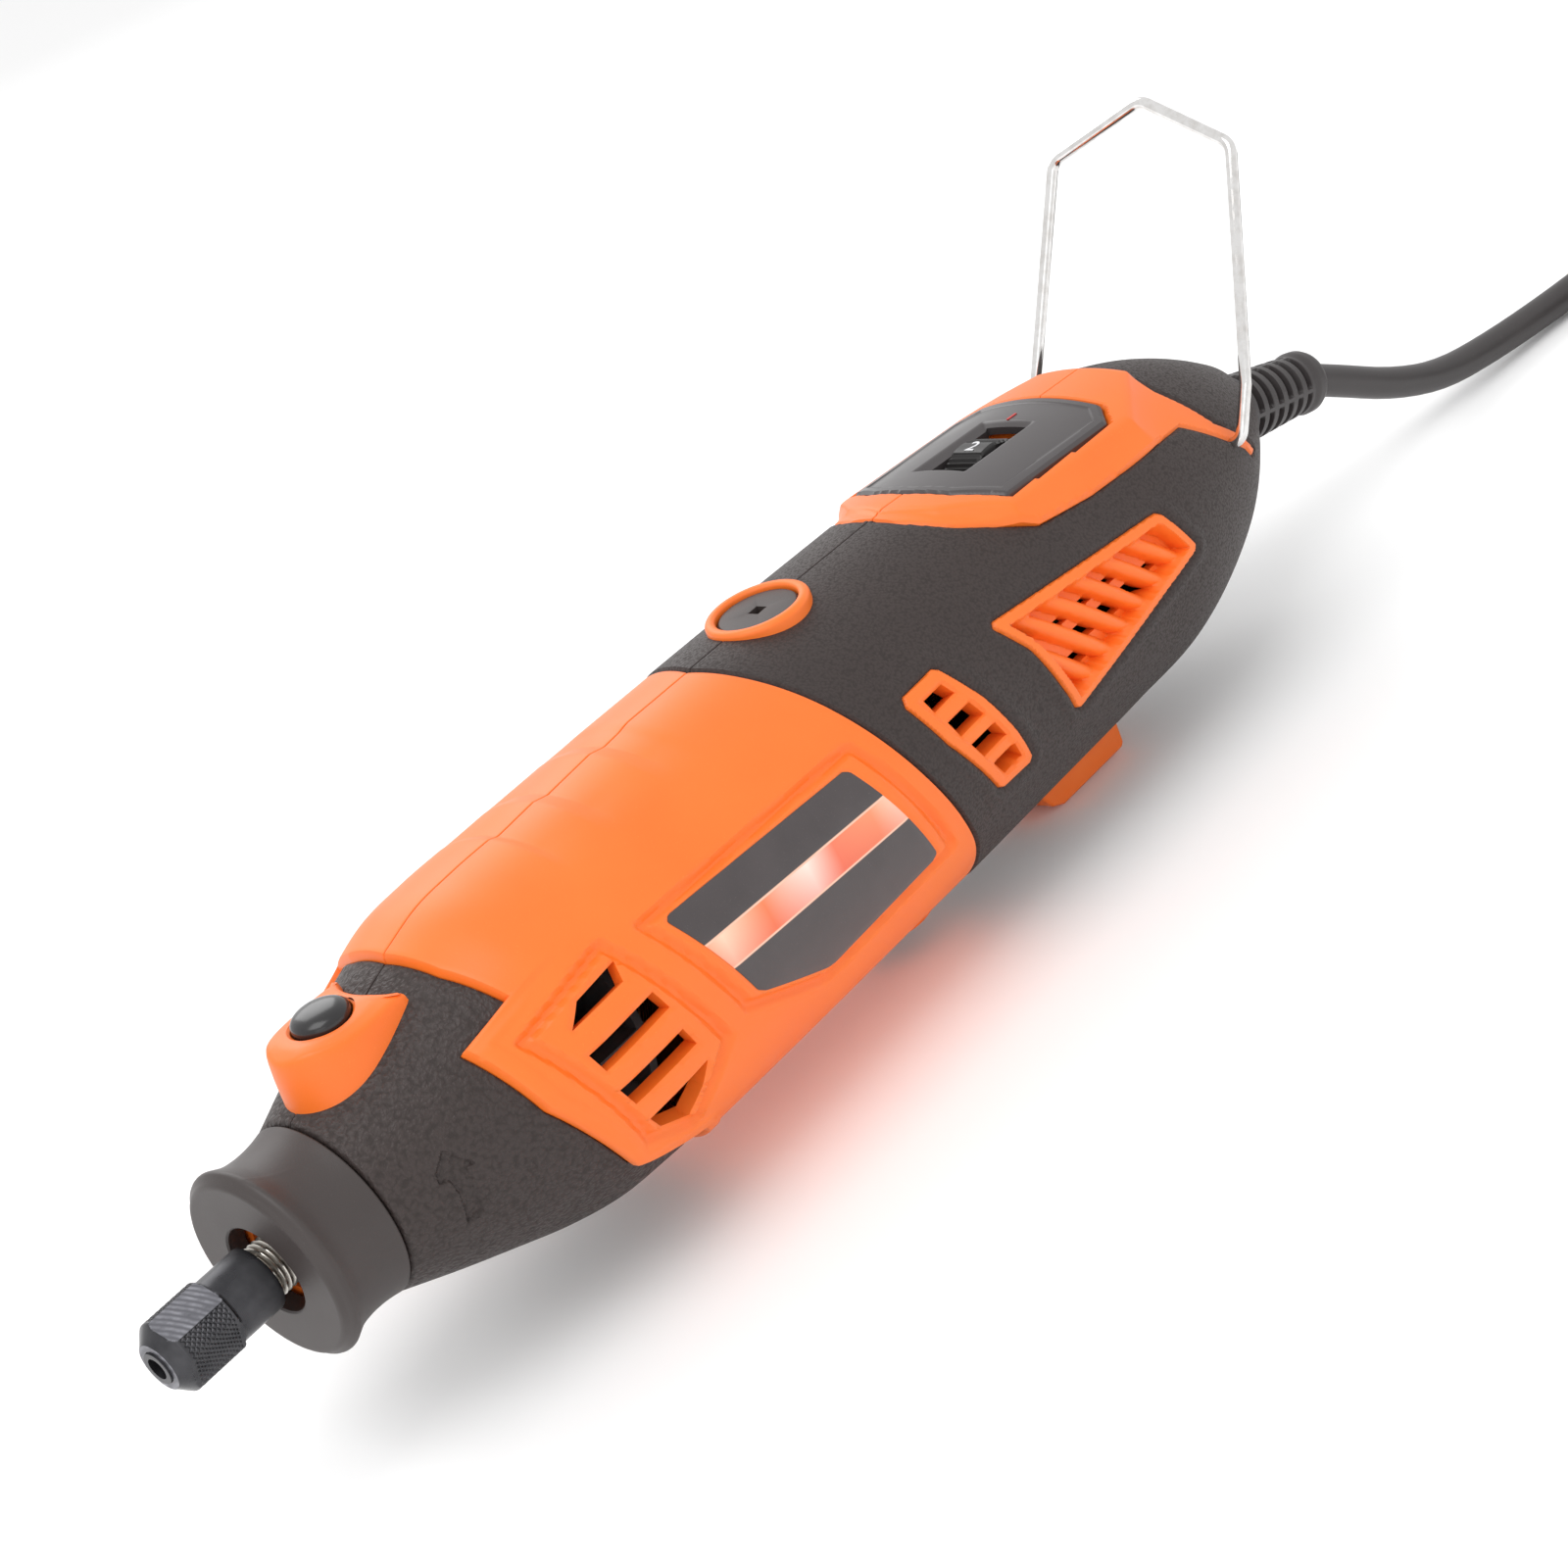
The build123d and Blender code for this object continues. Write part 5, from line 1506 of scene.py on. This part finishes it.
def make_tie():
    """Woven strap around one side of the coil: a flat band that rounds the coil's section."""
    inner_r, outer_r = COIL_RINGS[0] - CORD_D / 2, COIL_RINGS[-1] + CORD_D / 2
    x0, x1 = COIL_C[0] + inner_r - 1.35, COIL_C[0] + outer_r + 0.78
    z0, z1 = FLOOR_Z + 0.02, FLOOR_Z + 2 * CORD_D + 1.55
    corners = [(x0, 0, z0), (x1, 0, z0), (x1, 0, z1), (x0, 0, z1), (x0, 0, z0)]
    middle = ((x0 + x1) / 2, 0, z0)
    run = bent_wire([middle, *corners[1:4], corners[0], middle], [2.4, 2.4, 2.4, 2.4], 0.8)[:-1]
    direction = along_line(run)
    inward = np.cross(direction, (0.0, 1.0, 0.0))
    centre = np.array([(x0 + x1) / 2, 0.0, (z0 + z1) / 2])
    if np.einsum("ij,ij->", inward, centre - run) < 0:
        inward = -inward
    rings = []
    for place, way in zip(run, inward):
        ring = [
            place + (0, -4.7, 0), place + (0, 4.7, 0), place + way * 0.72 + (0, 4.7, 0),
            place + way * 0.72 - (0, 4.7, 0),
        ]
        rings.append(np.array(ring) + (0, COIL_C[1], 0))
    faces = ring_faces(len(rings), 4, closed_rows=True)
    tie = make("cord_tie_band", np.array(rings), faces, "housing", strap, sharp=40)
    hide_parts("cord_tie")
    return tie


for side, sign in SIDES:
    make_front_grip(side, sign)
    make_middle(side, sign)
    make_label(side, sign)
    make_rear_grip(side, sign)
    make_small_vent(side, sign)
    make_large_vent(side, sign)
    make_deck(side, sign)
make_nose_cap()
make_nut()
make_spindle()
make_cover()
make_dial()
make_switch()
make_brush("top", 1)
make_brush("bottom", -1)
make_lock()
make_bail()
make_relief()
cord_line = make_cord()
plug_pieces = make_plug()
tie_piece = make_tie()

# ---- floor, light and camera ----
def link(thing):
    """Puts an object in the scene."""
    bpy.context.scene.collection.objects.link(thing)
    return thing


def lay_floor():
    """A plain pale floor just under the tool."""
    half, below = 3.0, 0.0004
    mesh = bpy.data.meshes.new("floor")
    corners = [(-half, -half, 0), (half, -half, 0), (half, half, 0), (-half, half, 0)]
    mesh.from_pydata(corners, [], [(0, 1, 2, 3)])
    white, _, shader = start_material("floor_white", 0.9)
    shader.inputs["Base Color"].default_value = (0.97, 0.97, 0.97, 1)
    mesh.materials.append(white)
    floor = link(bpy.data.objects.new("floor", mesh))
    floor.location.z = FLOOR_Z * MM - below


def light_studio():
    """Soft white light from all round, and three large lamps."""
    world = bpy.data.worlds.new("studio")
    bpy.context.scene.world = world
    world.use_nodes = True
    world.node_tree.nodes["Background"].inputs["Color"].default_value = (1.0, 1.0, 1.0, 1)
    world.node_tree.nodes["Background"].inputs["Strength"].default_value = 0.93
    lamps = [("key", (-0.30, -0.10, 0.95), (0.13, 0, 0), 0.7, 4.0)]
    lamps += [("fill", (-0.75, -0.75, 0.35), (0.13, 0, 0), 0.7, 0.8)]
    lamps += [("rim", (0.45, 0.75, 0.55), (0.16, 0, 0), 0.6, 2.4)]
    for name, place, target, size, power in lamps:
        data = bpy.data.lights.new(name, "AREA")
        data.size, data.energy = size, power
        lamp = link(bpy.data.objects.new(name, data))
        lamp.location = place
        lamp.rotation_euler = (Vector(target) - Vector(place)).to_track_quat("-Z", "Y").to_euler()


def place_camera():
    """A camera in front of the tool, to its left and above it, rolled about its line of view."""
    data = bpy.data.cameras.new("camera")
    data.lens, data.sensor_width, data.clip_start = 70.87, 36.0, 0.01
    camera = link(bpy.data.objects.new("camera", data))
    right, up, back = (0.60919, -0.71145, -0.35033), (0.55023, 0.06107, 0.83278), (
        -0.57109, -0.70008, 0.42866
    )
    turned = Matrix((right, up, back)).transposed()
    camera.matrix_world = Matrix.Translation((-0.131294, -0.318797, 0.197275)) @ turned.to_4x4()
    bpy.context.scene.camera = camera
    bpy.context.scene.view_settings.view_transform = "Standard"


lay_floor()
light_studio()
place_camera()
